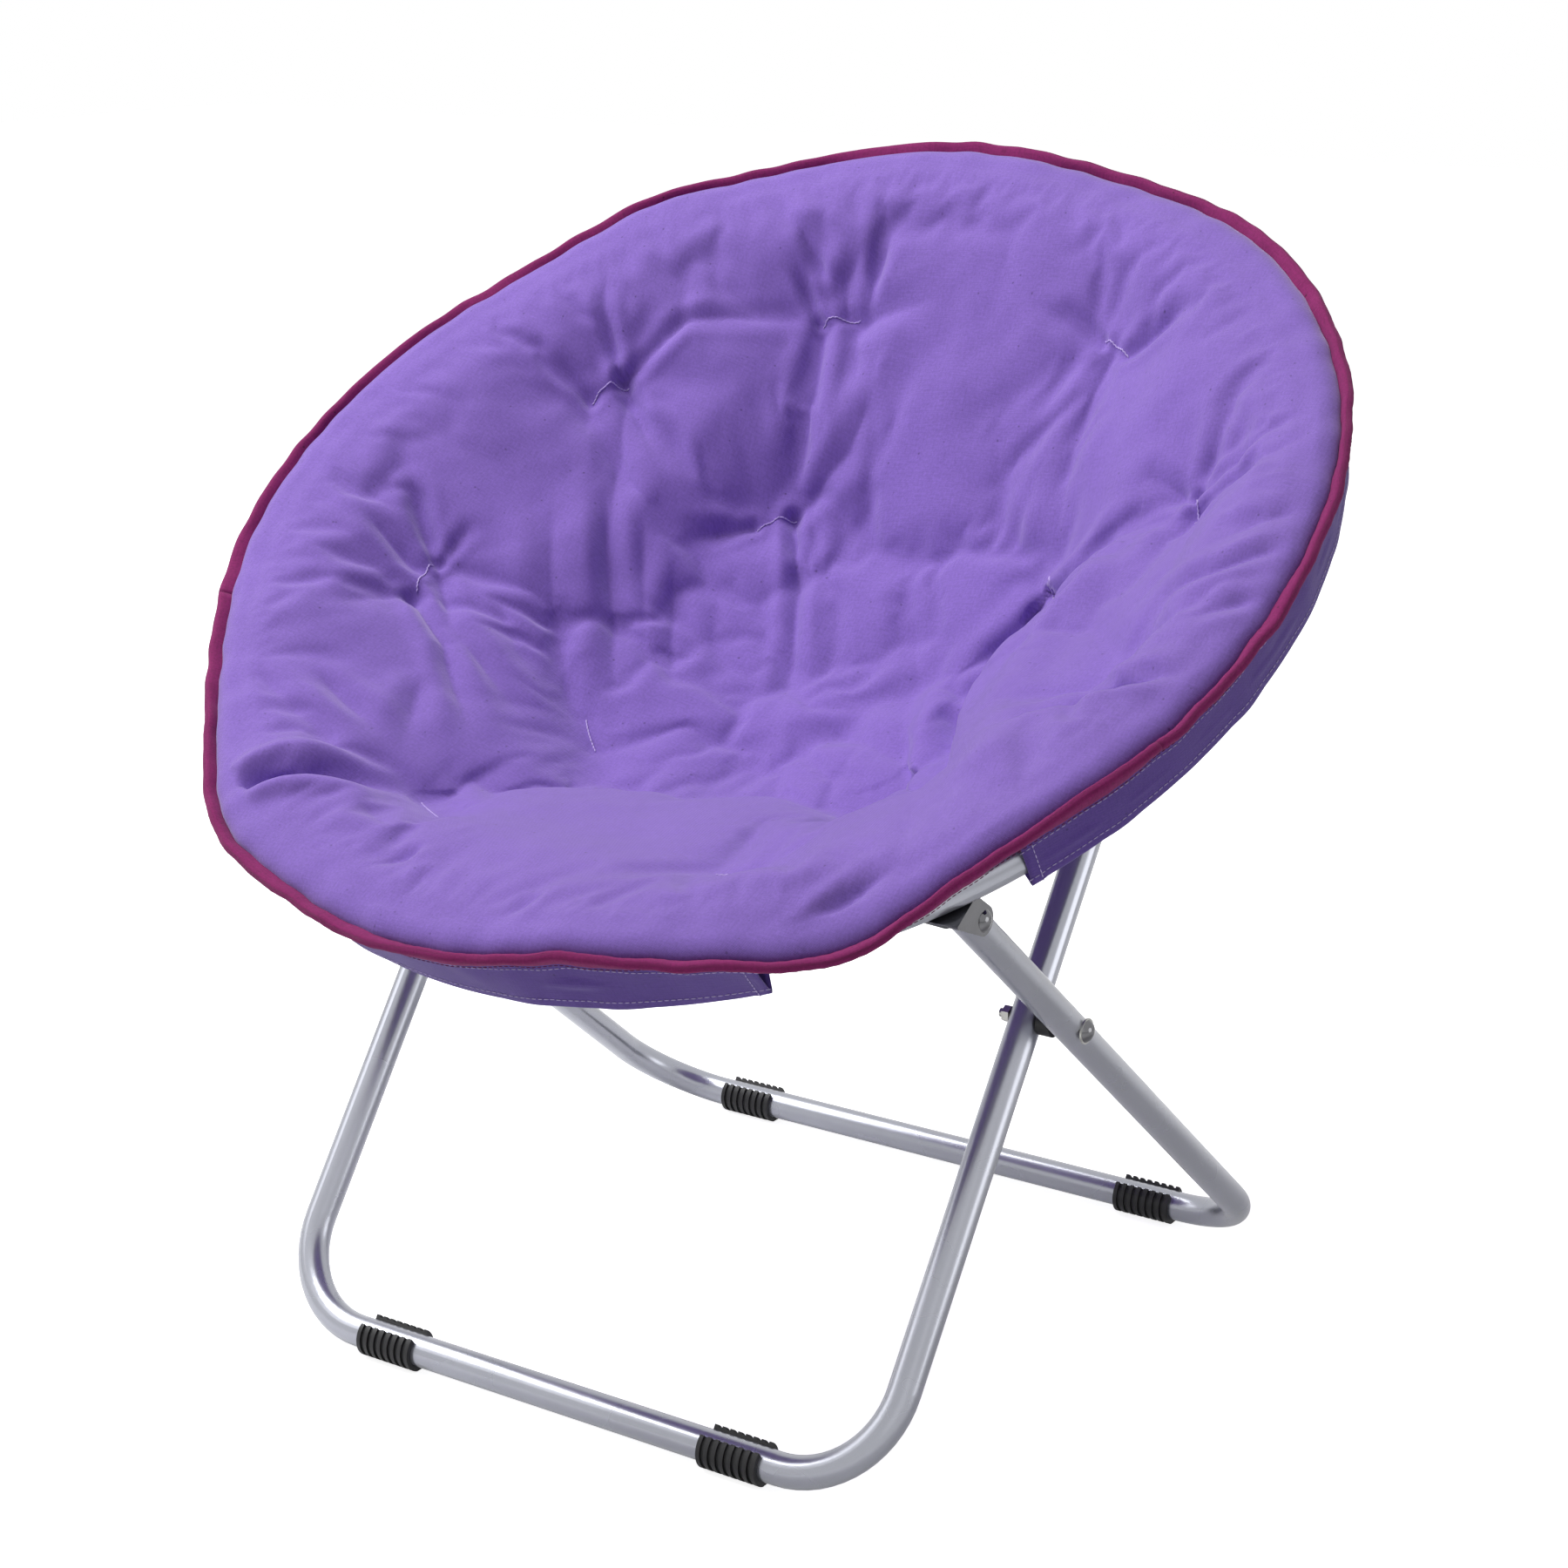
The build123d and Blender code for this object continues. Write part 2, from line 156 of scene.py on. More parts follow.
UNDER_EDGE = ([0.3660, 0.3728, 0.3800, 0.3860, 0.3905, 0.3930, 0.3950, RIM_R],
              [0.0066, 0.0118, 0.0140, 0.0136, 0.0108, 0.0108, 0.0150, 0.0232])


def under_face(r):
    """Height of the pad's lower face."""
    floor = BOWL_N - np.sqrt(BOWL_R**2 - np.minimum(r, FLOOR_R)**2)
    wall = FLOOR_N + (r - FLOOR_R) * math.tan(WALL)
    edge = np.interp(r, UNDER_EDGE[0], UNDER_EDGE[1])
    return np.where(r < FLOOR_R, floor, np.where(r < UNDER_EDGE[0][0], wall, edge))


def along_face(r):
    """Distance over the cloth from the bowl's middle."""
    floor = SEAT_R * np.arcsin(np.minimum(r, SEAT_FLOOR_R) / SEAT_R)
    return floor + np.maximum(r - SEAT_FLOOR_R, 0) / math.cos(WALL)


# Tufts as (distance from the axis in mm, angle from the front in degrees)

TUFTS = [(283, -123), (278, -78), (275, -161), (289, 149), (294, 109), (300, 78), (154, -141), (176, 115),
         (290, -27), (290, 25), (166, -48), (168, 44)]

# Folds that the cloth makes, as (depth, width, points up the fold's line) in mm of x and v.
# A negative depth fades at both of its ends.

FOLDS = [
    # the seat's left side
    (6, 8, (-265, -80), (-220, -110), (-150, -185)), (4, 9, (-270, -45), (-230, -90), (-130, -145)),
    (4, 7, (-275, -40), (-325, 25)), (4, 8, (-280, -55), (-330, -35)), (-2.5, 10, (-300, -25), (-350, -20)),
    (2.5, 5, (-270, -40), (-260, 5)), (3.5, 12, (-270, -80), (-285, -130)),
    (-4, 9, (-260, -190), (-175, -225)), (-3, 9, (-295, -210), (-200, -250)),
    (-3.5, 10, (-210, -145), (-170, -230)), (-2.5, 10, (-225, -45), (-165, -100)),
    (-4, 14, (-230, 55), (-180, -50), (-120, -130)),
    # the back's left tuft
    (4, 14, (-225, 160), (-185, 50), (-115, -100)), (3.5, 6, (-235, 170), (-255, 205), (-265, 240)),
    (3.5, 7, (-230, 165), (-195, 215), (-100, 255)), (4, 8, (-230, 165), (-170, 105)),
    (3, 7, (-245, 140), (-275, 155)), (2.5, 10, (-245, 140), (-230, 100)),
    # the back's top
    (4, 5, (-105, 255), (-130, 280)), (-3.5, 5, (-100, 275), (-145, 315)),
    (3, 8, (-85, 265), (-90, 280), (-75, 310)), (-3, 8, (-70, 275), (-60, 330)),
    (3, 12, (-75, 260), (5, 275)), (5, 10, (-100, 250), (-90, 200), (-85, 130)),
    (3, 14, (-75, 255), (-55, 205)), (5, 13, (145, 240), (140, 165), (155, 75)),
    (3, 8, (135, 250), (65, 275)), (3, 7, (135, 255), (95, 275)), (4, 9, (165, 240), (215, 260)),
    # the back's lower part
    (3.5, 10, (-80, 130), (-50, 170), (-40, 225)), (3.5, 6, (-110, 110), (-150, 70)),
    (6, 7, (-85, 125), (-65, 90), (-40, 30), (-10, -55)), (-2.5, 7, (-65, 110), (-40, 60)),
    (-4.5, 9, (-205, 85), (-170, 15), (-110, -100)), (-4, 9, (-175, 80), (-120, -45)),
    (-4, 9, (-145, 60), (-135, 30), (-90, -60)), (-3, 9, (-185, -35), (-125, -120)),
    (-3, 12, (15, 110), (75, 10), (110, -40)), (-4, 12, (10, -35), (80, -60), (135, -85)),
    (3.5, 9, (155, 75), (75, 150)), (3.5, 10, (165, 70), (200, 90), (280, 95)),
    (14, 15, (160, 65), (140, 30), (130, -10), (140, -60)),
    (11, 13, (132, -30), (140, -60), (185, -140), (215, -190)),
    (-3.5, 14, (195, 10), (175, -20), (185, -55)),
    # the right side
    (4.5, 8, (270, 105), (230, 125), (215, 120)), (3, 8, (275, 110), (280, 170), (310, 190)),
    (3, 7, (275, 105), (355, 145)), (3, 8, (280, 95), (335, 105), (365, 125)),
    (3.5, 9, (280, 90), (265, 70), (265, 45)), (-3, 10, (385, 55), (315, 15)),
    (-4.5, 8, (390, 20), (340, -5), (310, -10), (300, -60)), (-3.5, 8, (390, -25), (330, -55)),
    (-9, 10, (370, -95), (300, -105), (260, -115), (225, -145)),
    # the front
    (14, 11, (-230, -320), (-205, -290), (-150, -255)), (-3.5, 7, (-70, -315), (-95, -360)),
    (-3, 12, (-105, -310), (-150, -290)), (-2.5, 9, (-50, -335), (-45, -380)),
    (-3, 6, (40, -335), (30, -375)), (6, 9, (220, -330), (245, -280), (260, -260)),
]

# Broad forms of the filling, as (height, width, points along it) in mm of x and v; a negative one is a hollow

SWELLS = [
    (19, 30, (212, 45), (190, 0), (215, -80), (262, -165)), (9, 42, (300, -140), (330, -40), (330, 60)),
    (6, 40, (-310, -60), (-300, -150)), (5, 30, (-200, -285), (-100, -290), (60, -295), (190, -285)),
    (-13, 52, (-140, -225), (-60, -130), (60, -110), (150, -150)), (7, 34, (-160, 200), (-170, 120)),
    (6, 36, (30, 215), (40, 120)), (-10, 36, (148, 55), (126, 0), (136, -60), (180, -135)),
    (7, 34, (215, 190), (215, 150)), (6, 30, (-190, 60), (-215, 0)),
]


def cloth_place(x, v):
    """Places on the flattened cloth, in metres, of points given in the ring's frame."""
    r = np.hypot(x, v)
    stretch = np.where(r > 1e-9, along_face(r) / np.maximum(r, 1e-9), 1)
    return np.stack([x * stretch, v * stretch], axis=-1)


def line_distance(places, line):
    """Distance of each place from a line of points, and its share of the way along."""
    steps = np.diff(line, axis=0)
    lengths = np.linalg.norm(steps, axis=1)
    before = np.concatenate([[0], np.cumsum(lengths)])
    best = np.full(len(places), 9.0)
    share = np.zeros(len(places))
    for start, step, length, gone in zip(line[:-1], steps, lengths, before):
        t = np.clip(((places - start) @ step) / length**2, 0, 1)
        gap = np.linalg.norm(places - start - t[:, None] * step, axis=1)
        near = gap < best
        best[near] = gap[near]
        share[near] = ((gone + t * length) / before[-1])[near]
    return best, share


def drawn_lines(rows):
    """Size and width in metres and the line on the flattened cloth of each fold or swell."""
    for size, wide, *line in rows:
        line = np.array(line, float) / 1000
        yield size / 1000, wide / 1000, cloth_place(line[:, 0], line[:, 1])


def fold_depth(places):
    """How far the folds draw the upper face in at each place; ridges beside a fold count as negative."""
    depth = np.zeros(len(places))
    for deep, wide, line in drawn_lines(FOLDS):
        gap, share = line_distance(places, line)
        w = wide * (0.75 + 0.5 * share)
        end = 1 - smooth_step(0.45, 1, share)
        start = smooth_step(0, 0.3, share) if deep < 0 else 1.0
        valley = 0.5 * np.exp(-(gap / w) ** 2) + 0.6 * np.exp(-1.8 * gap / w)
        ridge = 0.42 * np.exp(-((gap - 2.0 * w) / w) ** 2)
        depth += abs(deep) * (valley - ridge) * end * start
    return depth


def swell_height(places):
    """How far the filling's broad forms lift the upper face at each place."""
    height = np.zeros(len(places))
    for high, wide, line in drawn_lines(SWELLS):
        gap = line_distance(places, line)[0]
        height += high * np.exp(-(gap / wide) ** 2)
    return height


def tuft_lines(length):
    """The sewn line of each tuft on the flattened cloth, along the ring."""
    for r, angle in TUFTS:
        turn = math.radians(angle)
        x, v = polar(r / 1000, turn)
        middle = cloth_place(np.array([x]), np.array([v]))[0]
        along = np.array([math.cos(turn), math.sin(turn)])
        yield np.array([middle - along * length / 2, middle + along * length / 2])


def tuft_gap(places, length):
    """Distance of each place from the nearest tuft's sewn line."""
    return np.min([line_distance(places, line)[0] for line in tuft_lines(length)], axis=0)


# Where the edge strays from its circle: angle from the front and spread in degrees, outwards and up in mm

EDGE_WAVES = [
    (-155, 14, -1.5, -2.5), (-140, 7, 2, 4), (-122, 10, -2, -3), (-57, 17, -9, -5), (-32, 9, 10, 0),
    (-12, 14, 4.5, -2), (12, 7, -5, 3.5), (36, 9, 12, -11.5), (58, 10, -3, 2.5), (90, 22, -4, 2),
    (130, 16, -4, -1), (163, 18, -8, -8),
]


def rim_wave(angle):
    """Stray of the pad's edge, outwards and along the ring's normal, in metres, with a fine pucker."""
    out = 0.35 * np.sin(47 * angle + 1.0) + 0.25 * np.sin(83 * angle)
    up = 0.35 * np.sin(53 * angle + 2.0) + 0.25 * np.sin(71 * angle)
    for place, spread, far, high in EDGE_WAVES:
        away = (np.degrees(angle) - place + 180) % 360 - 180
        swell = np.exp(-(away / spread) ** 2)
        out = out + far * swell
        up = up + high * swell
    return out / 1000, up / 1000


# Mesh helpers

def new_object(name, points, faces, smooth=True):
    mesh = bpy.data.meshes.new(name)
    mesh.from_pydata([tuple(p) for p in points], [], [tuple(f) for f in faces])
    mesh.update()
    if smooth:
        mesh.shade_smooth()
    return placed(name, mesh)


def placed(name, data):
    made = bpy.data.objects.new(name, data)
    bpy.context.scene.collection.objects.link(made)
    return made


def points_of(mesh):
    flat = np.empty(len(mesh.vertices) * 3)
    mesh.vertices.foreach_get("co", flat)
    return flat.reshape(-1, 3)


def set_points(mesh, points):
    mesh.vertices.foreach_set("co", np.ascontiguousarray(points, np.float32).ravel())
    mesh.update()


def normals_of(mesh):
    flat = np.empty(len(mesh.vertices) * 3, np.float32)
    mesh.vertex_normals.foreach_get("vector", flat)
    return flat.reshape(-1, 3).astype(float)


def fix_normals(made):
    work = bmesh.new()
    work.from_mesh(made.data)
    bmesh.ops.recalc_face_normals(work, faces=work.faces[:])
    work.to_mesh(made.data)
    work.free()


def settle(made):
    """Make the evaluated mesh the object's own and remove its modifiers."""
    graph = bpy.context.evaluated_depsgraph_get()
    mesh = bpy.data.meshes.new_from_object(made.evaluated_get(graph))
    made.modifiers.clear()
    made.data = mesh


def subdivide(made):
    step = made.modifiers.new("Subdivision", "SUBSURF")
    step.levels = 1
    step.render_levels = 1
    settle(made)


def set_uv(mesh, places):
    """UV map in metres from one place for each vertex."""
    layer = mesh.uv_layers.get("UVMap") or mesh.uv_layers.new(name="UVMap")
    corners = np.empty(len(mesh.loops), np.int32)
    mesh.loops.foreach_get("vertex_index", corners)
    layer.data.foreach_set("uv", np.ascontiguousarray(places[corners], np.float32).ravel())


def wear(made, material):
    made.data.materials.clear()
    made.data.materials.append(material)


def ring_half(made, name, way):
    """The part of a mesh on one side of the ring hinge's line, closed on the cut: way -1 front, 1 back."""
    work = bmesh.new()
    work.from_mesh(made.data)
    cut = bmesh.ops.bisect_plane(
        work, geom=work.verts[:] + work.edges[:] + work.faces[:], dist=1e-6,
        plane_co=to_world(0.0, HINGE_V, 0.0), plane_no=UP_SLOPE,
        clear_inner=way > 0, clear_outer=way < 0)
    rim = [part for part in cut["geom_cut"] if isinstance(part, bmesh.types.BMEdge)]
    lids = bmesh.ops.triangle_fill(work, edges=rim, use_beauty=True)
    for edge in rim:
        edge.smooth = False
    for part in lids["geom"]:
        if isinstance(part, bmesh.types.BMFace):
            part.smooth = False
    bmesh.ops.recalc_face_normals(work, faces=work.faces[:])
    mesh = bpy.data.meshes.new(name)
    work.to_mesh(mesh)
    work.free()
    return placed(name, mesh)


def ripple(points, scale, seed):
    """Soft random height for each point, from -1 to 1."""
    shift = Vector((seed * 3.7, seed * 1.3, seed * 5.1))
    return np.array([noise.noise(Vector(p) * scale + shift) for p in points])


# Node helpers

class Graph:
    """Short hand for adding and joining the nodes of one tree."""

    def __init__(self, tree):
        self.nodes = tree.nodes
        self.links = tree.links

    def add(self, kind, inputs=None, **settings):
        node = self.nodes.new(kind)
        for key, value in settings.items():
            setattr(node, key, value)
        for key, value in (inputs or {}).items():
            self.put(node.inputs[key], value)
        return node

    def put(self, socket, value):
        if isinstance(value, bpy.types.NodeSocket):
            self.links.new(value, socket)
        else:
            socket.default_value = value

    def math(self, operation, first, second=0.5, third=None):
        node = self.add("ShaderNodeMath", operation=operation)
        self.put(node.inputs[0], first)
        self.put(node.inputs[1], second)
        if third is not None:
            self.put(node.inputs[2], third)
        return node.outputs[0]


class Finish(Graph):
    """The nodes of one material."""

    def __init__(self, name):
        self.material = bpy.data.materials.new(name)
        self.material.use_nodes = True
        super().__init__(self.material.node_tree)
        self.shader = self.nodes["Principled BSDF"]

    def place(self):
        return self.add("ShaderNodeTexCoord").outputs["Object"]

    def noise(self, vector, scale, detail=2.0, rough=0.5):
        return self.add("ShaderNodeTexNoise", {"Vector": vector, "Scale": scale, "Detail": detail,
                                               "Roughness": rough}).outputs["Fac"]

    def stretch(self, vector, scale):
        return self.add("ShaderNodeMapping", {"Vector": vector, "Scale": scale}).outputs["Vector"]

    def ramp(self, value, low, high, start, end):
        return self.add("ShaderNodeMapRange", {"Value": value, "From Min": low, "From Max": high,
                                               "To Min": start, "To Max": end}).outputs["Result"]

    def vary(self, value, start, end):
        """The middle range of a noise spread between two values."""
        return self.ramp(value, 0.3, 0.7, start, end)

    def tint(self, colour, factor):
        """The colour brightened or darkened by a factor socket."""
        node = self.add("ShaderNodeMix", data_type="RGBA", blend_type="MULTIPLY")
        node.inputs["Factor"].default_value = 1.0
        self.put(node.inputs["A"], (*colour, 1))
        grey = self.add("ShaderNodeCombineColor", {"Red": factor, "Green": factor, "Blue": factor})
        self.put(node.inputs["B"], grey.outputs[0])
        return node.outputs["Result"]

    def bump(self, height, distance, strength):
        node = self.add("ShaderNodeBump", {"Height": height, "Distance": distance, "Strength": strength})
        self.links.new(node.outputs["Normal"], self.shader.inputs["Normal"])

    def set(self, **values):
        for key, value in values.items():
            self.put(self.shader.inputs[key.replace("_", " ")], value)


# Finishes; a wave texture of scale 1 repeats after WAVE_PERIOD

WAVE_PERIOD = 0.31416


def canvas(name, colour, pitch, lively=1.0, sheen=0.6):
    """Plain-woven cotton: crossing threads, slubs, dark specks and a soft nap. Reads the piece's UV map."""
    g = Finish(name)
    uv = g.add("ShaderNodeUVMap", uv_map="UVMap").outputs["UV"]
    threads = {"Vector": uv, "Scale": WAVE_PERIOD / pitch, "Distortion": 0.6, "Detail": 1.0,
               "Detail Scale": 0.4}
    across = g.add("ShaderNodeTexWave", threads, bands_direction="X").outputs["Fac"]
    along = g.add("ShaderNodeTexWave", threads, bands_direction="Y").outputs["Fac"]
    weave = g.math("MULTIPLY", g.math("SUBTRACT", across), g.math("SUBTRACT", along))
    slub_x = g.noise(g.stretch(uv, (70, 900, 1)), 1.0)
    slub_y = g.noise(g.stretch(uv, (900, 70, 1)), 1.0)
    cloudy = g.noise(uv, 9.0, 3)
    grain = g.noise(uv, 480.0, 3, 0.7)
    cells = g.add("ShaderNodeTexVoronoi", {"Vector": uv, "Scale": 85.0, "Randomness": 1.0}).outputs
    draw = g.add("ShaderNodeSeparateColor", {"Color": cells["Color"]}).outputs[0]
    speck = g.math("MULTIPLY", g.ramp(cells["Distance"], 0.04, 0.10, 1.0, 0.0),
                   g.math("GREATER_THAN", draw, 0.45))
    light = g.math("ADD", g.vary(slub_x, -0.05 * lively, 0.05 * lively),
                   g.vary(slub_y, -0.05 * lively, 0.05 * lively))
    light = g.math("ADD", light, g.vary(cloudy, 0.96, 1.04))
    light = g.math("ADD", light, g.ramp(grain, 0.35, 0.65, -0.10 * lively, 0.10 * lively))
    light = g.math("SUBTRACT", light, g.math("MULTIPLY", speck, 0.42 * lively))
    g.set(Base_Color=g.tint(colour, light), Roughness=0.86)
    g.set(Sheen_Weight=sheen, Sheen_Roughness=0.4, Specular_IOR_Level=0.25)
    g.set(Sheen_Tint=(*[min(1.0, 0.7 + c) for c in colour], 1))
    slubs = g.math("MULTIPLY", g.math("ADD", slub_x, slub_y), 0.5)
    g.bump(g.math("ADD", g.math("MULTIPLY", weave, 0.8), slubs), 0.00035, 0.8)
    return g.material


def sewing_thread(name, colour):
    """Twisted thread with a slight shine."""
    g = Finish(name)
    twist = g.noise(g.stretch(g.place(), (1800, 1800, 1800)), 1.0)
    g.set(Base_Color=g.tint(colour, g.vary(twist, 0.82, 1.12)), Roughness=0.6, Specular_IOR_Level=0.3)
    g.bump(twist, 0.0002, 0.6)
    return g.material


def tube_paint(name, colour, roughness):
    """Silver powder coat: metal flake under a soft clear film, with faint orange peel."""
    g = Finish(name)
    place = g.place()
    peel = g.noise(place, 420.0)
    flake = g.noise(place, 3200.0, 0)
    patch = g.noise(place, 14.0, 3)
    g.set(Base_Color=g.tint(colour, g.math("ADD", g.vary(flake, -0.03, 0.03), g.vary(patch, 0.97, 1.03))))
    g.set(Roughness=g.vary(patch, roughness - 0.03, roughness + 0.04), Metallic=0.82)
    g.set(Coat_Weight=0.25, Coat_Roughness=0.18)
    g.bump(peel, 0.00025, 0.12)
    return g.material


def plated_steel(name, colour, roughness, scratch):
    """Plated sheet and fasteners: bright, with fine rubbing marks."""
    g = Finish(name)
    place = g.place()
    rub = g.noise(g.stretch(place, (300, 2600, 300)), 1.0, 3)
    dull = g.noise(place, 90.0, 3)
    g.set(Base_Color=g.tint(colour, g.vary(dull, 0.93, 1.05)), Metallic=1.0)
    g.set(Roughness=g.ramp(g.math("ADD", rub, dull), 0.7, 1.3, roughness, roughness + scratch))
    g.bump(rub, 0.0001, 0.15)
    return g.material


def moulded_plastic(name, colour):
    """Dark moulded plastic with a fine spark-eroded texture."""
    g = Finish(name)
    place = g.place()
    grain = g.noise(place, 1500.0)
    rubbed = g.noise(place, 60.0, 3)
    g.set(Base_Color=g.tint(colour, g.vary(rubbed, 0.85, 1.25)))
    g.set(Roughness=g.vary(rubbed, 0.42, 0.58), Specular_IOR_Level=0.45)
    g.bump(grain, 0.0002, 0.25)
    return g.material


def studio_floor(colour):
    """Floor that reads as white to the camera where it is fully lit and keeps the soft shadow."""
    g = Finish("Studio floor")
    g.set(Base_Color=(*colour, 1), Roughness=0.9, Specular_IOR_Level=0.1)
    ray = g.add("ShaderNodeLightPath").outputs
    seen = g.math("MAXIMUM", ray["Is Camera Ray"], g.math("MULTIPLY", ray["Is Glossy Ray"], 0.35))
    g.set(Emission_Color=(1, 1, 1, 1), Emission_Strength=g.math("MULTIPLY", seen, 0.85))
    return g.material


# Stitches laid along a line by geometry nodes; the sizes of a row are (pitch, length, thread) in metres

def stitch_tree():
    """A row of short thread stitches along a curve, each leaning the other way from the one before."""
    tree = bpy.data.node_groups.get("Stitch row")
    if tree:
        return tree
    tree = bpy.data.node_groups.new("Stitch row", "GeometryNodeTree")
    sockets = tree.interface
    sockets.new_socket("Line", in_out="INPUT", socket_type="NodeSocketGeometry")
    for label, default in (("Pitch", 0.004), ("Stitch Length", 0.003), ("Thread", 0.0008), ("Lean", 0.0)):
        sockets.new_socket(label, in_out="INPUT", socket_type="NodeSocketFloat").default_value = default
    sockets.new_socket("Finish", in_out="INPUT", socket_type="NodeSocketMaterial")
    sockets.new_socket("Stitches", in_out="OUTPUT", socket_type="NodeSocketGeometry")
    g = Graph(tree)
    given = g.add("NodeGroupInput").outputs
    spots = g.add("GeometryNodeCurveToPoints", {"Curve": given["Line"], "Length": given["Pitch"]},
                  mode="LENGTH").outputs
    bead = g.add("GeometryNodeMeshUVSphere", {"Segments": 6, "Rings": 5, "Radius": 0.5})
    aim = g.add("FunctionNodeAlignRotationToVector", {"Vector": spots["Tangent"]}, axis="Z")
    odd = g.math("MODULO", g.add("GeometryNodeInputIndex").outputs[0], 2.0)
    lean = g.math("MULTIPLY", g.math("MULTIPLY_ADD", odd, 2.0, -1.0), given["Lean"])
    swing = g.add("FunctionNodeAxisAngleToRotation", {"Axis": (0, 1, 0), "Angle": lean})
    turned = g.add("FunctionNodeRotateRotation", {"Rotation": aim.outputs["Rotation"],
                                                  "Rotate By": swing.outputs["Rotation"]},
                   rotation_space="LOCAL")
    size = g.add("ShaderNodeCombineXYZ", {"X": given["Thread"], "Y": given["Thread"],
                                          "Z": given["Stitch Length"]})
    beads = g.add("GeometryNodeInstanceOnPoints", {
        "Points": spots["Points"], "Instance": bead.outputs["Mesh"],
        "Rotation": turned.outputs["Rotation"], "Scale": size.outputs[0]})
    real = g.add("GeometryNodeRealizeInstances", {"Geometry": beads.outputs["Instances"]})
    smooth = g.add("GeometryNodeSetShadeSmooth", {"Geometry": real.outputs["Geometry"]})
    done = g.add("GeometryNodeSetMaterial", {"Geometry": smooth.outputs["Geometry"],
                                             "Material": given["Finish"]})
    g.add("NodeGroupOutput", {"Stitches": done.outputs["Geometry"]})
    return tree


def stitch_rows(name, lines, material, pitch, length, thread, lean=0.0):
    """One mesh of stitches along several lines of world points."""
    path = bpy.data.curves.new(name, "CURVE")
    path.dimensions = "3D"
    for line in lines:
        run = path.splines.new("POLY")
        run.points.add(len(line) - 1)
        weighted = np.concatenate([line, np.ones((len(line), 1))], axis=1)
        run.points.foreach_set("co", weighted.astype(np.float32).ravel())
    carrier = placed(name + "_line", path)
    tree = stitch_tree()
    rows = carrier.modifiers.new("Stitches", "NODES")
    rows.node_group = tree
    given = {"Pitch": pitch, "Stitch Length": length, "Thread": thread, "Lean": lean, "Finish": material}
    for socket in tree.interface.items_tree:
        if socket.in_out == "INPUT" and socket.name in given:
            rows[socket.identifier] = given[socket.name]
    graph = bpy.context.evaluated_depsgraph_get()
    mesh = bpy.data.meshes.new_from_object(carrier.evaluated_get(graph), depsgraph=graph)
    mesh.name = name
    bpy.data.objects.remove(carrier)
    made = placed(name, mesh)
    wear(made, material)
    return made


# Settings

def colour_setting(name, description, value):
    return bpy.props.FloatVectorProperty(name=name, description=description, subtype="COLOR", size=3,
                                         min=0, max=1, default=value)


def length_setting(name, description, value, least, most):
    return bpy.props.FloatProperty(name=name, description=description, subtype="DISTANCE", unit="LENGTH",
                                   min=least, max=most, default=value)


def share_setting(name, description, value, most=1):
    return bpy.props.FloatProperty(name=name, description=description, subtype="FACTOR", min=0, max=most,
                                   default=value)


def power_setting(name, description, value):
    return bpy.props.FloatProperty(name=name, description=description, unit="POWER", min=0, max=500,
                                   default=value)


class MoonChairFrame(bpy.types.PropertyGroup):
    tube_colour: colour_setting("Tube colour", "Silver-grey coat of the legs and ring", srgb(168, 170, 179))
    tube_roughness: share_setting("Tube roughness", "How far the coat blurs reflections", 0.27)
    plating_colour: colour_setting("Plating colour", "Brackets, rivets and bolts", srgb(112, 112, 115))
    zinc_colour: colour_setting("Zinc colour", "Nuts, washers and hinge leaves", srgb(176, 176, 172))
    plastic_colour: colour_setting("Plastic colour", "Foot pads, plugs and spacers", srgb(27, 27, 29))


class MoonChairSeat(bpy.types.PropertyGroup):
    cloth_colour: colour_setting("Cloth colour", "Cotton canvas of the pad", srgb(125, 96, 180))
    # The sleeves are the pad's own canvas. This colour is darker than the cloth colour as painted shade, for
    # the shade under the pad's edge.
    sleeve_shade_colour: colour_setting("Sleeve colour", "Cotton canvas of the sleeves", srgb(86, 62, 140))
    tape_colour: colour_setting("Tape colour", "Folded tape round the edge", srgb(124, 28, 90))
    tack_colour: colour_setting("Tack colour", "Thread of the tufts", srgb(186, 165, 222))
    seam_colour: colour_setting("Seam colour", "Thread of the sleeves", srgb(196, 182, 226))
    weave: length_setting("Weave", "Distance between the canvas's threads", 0.0011, 0.0004, 0.004)
    puff: length_setting("Puff", "Most that the filling lifts the cloth", 0.010, 0, 0.03)
    tuft_depth: length_setting("Tuft depth", "How far a tuft draws the cloth in", 0.011, 0, 0.03)
    tack_length: length_setting("Tack length", "Length of a tuft's thread bar", 0.028, 0.005, 0.06)
    fold_share: share_setting("Fold depth", "Share of the drawn depth of the folds", 1.0, 2)
    tape_width: length_setting("Tape width", "Width of the folded tape", 0.0140, 0.002, 0.03)
    tape_thick: length_setting("Tape thickness", "Thickness of the folded tape", 0.0078, 0.001, 0.02)


class MoonChairStage(bpy.types.PropertyGroup):
    floor_colour: colour_setting("Floor colour", "Pale studio floor", (0.82, 0.82, 0.82))
    top_power: power_setting("Top light", "Power of the wide light overhead", 100)
    side_power: power_setting("Side light", "Power of the light at the front left", 13)
    fill_power: power_setting("Fill light", "Power of the light by the camera", 2)
    low_power: power_setting("Low light", "Power of the low light at the right", 9)
    lens: bpy.props.FloatProperty(name="Lens", description="Focal length of the camera in mm", unit="CAMERA",
                                  min=10, max=300, default=69.735)


# Frame

def dress(names, material):
    for name in names:
        wear(nodes[name], material)


class MOONCHAIR_OT_tubes(bpy.types.Operator):
    """Coat the bent legs and the ring"""
    bl_idname = "moonchair.tubes"
    bl_label = "Leg and Ring Tubes"

    def execute(self, context):
        look = context.scene.moonchair_frame
        dress(["front_leg_frame", "rear_leg_frame", "front_ring_tube", "back_ring_tube"],
              tube_paint("Silver tube coat", tuple(look.tube_colour), look.tube_roughness))
        return {"FINISHED"}


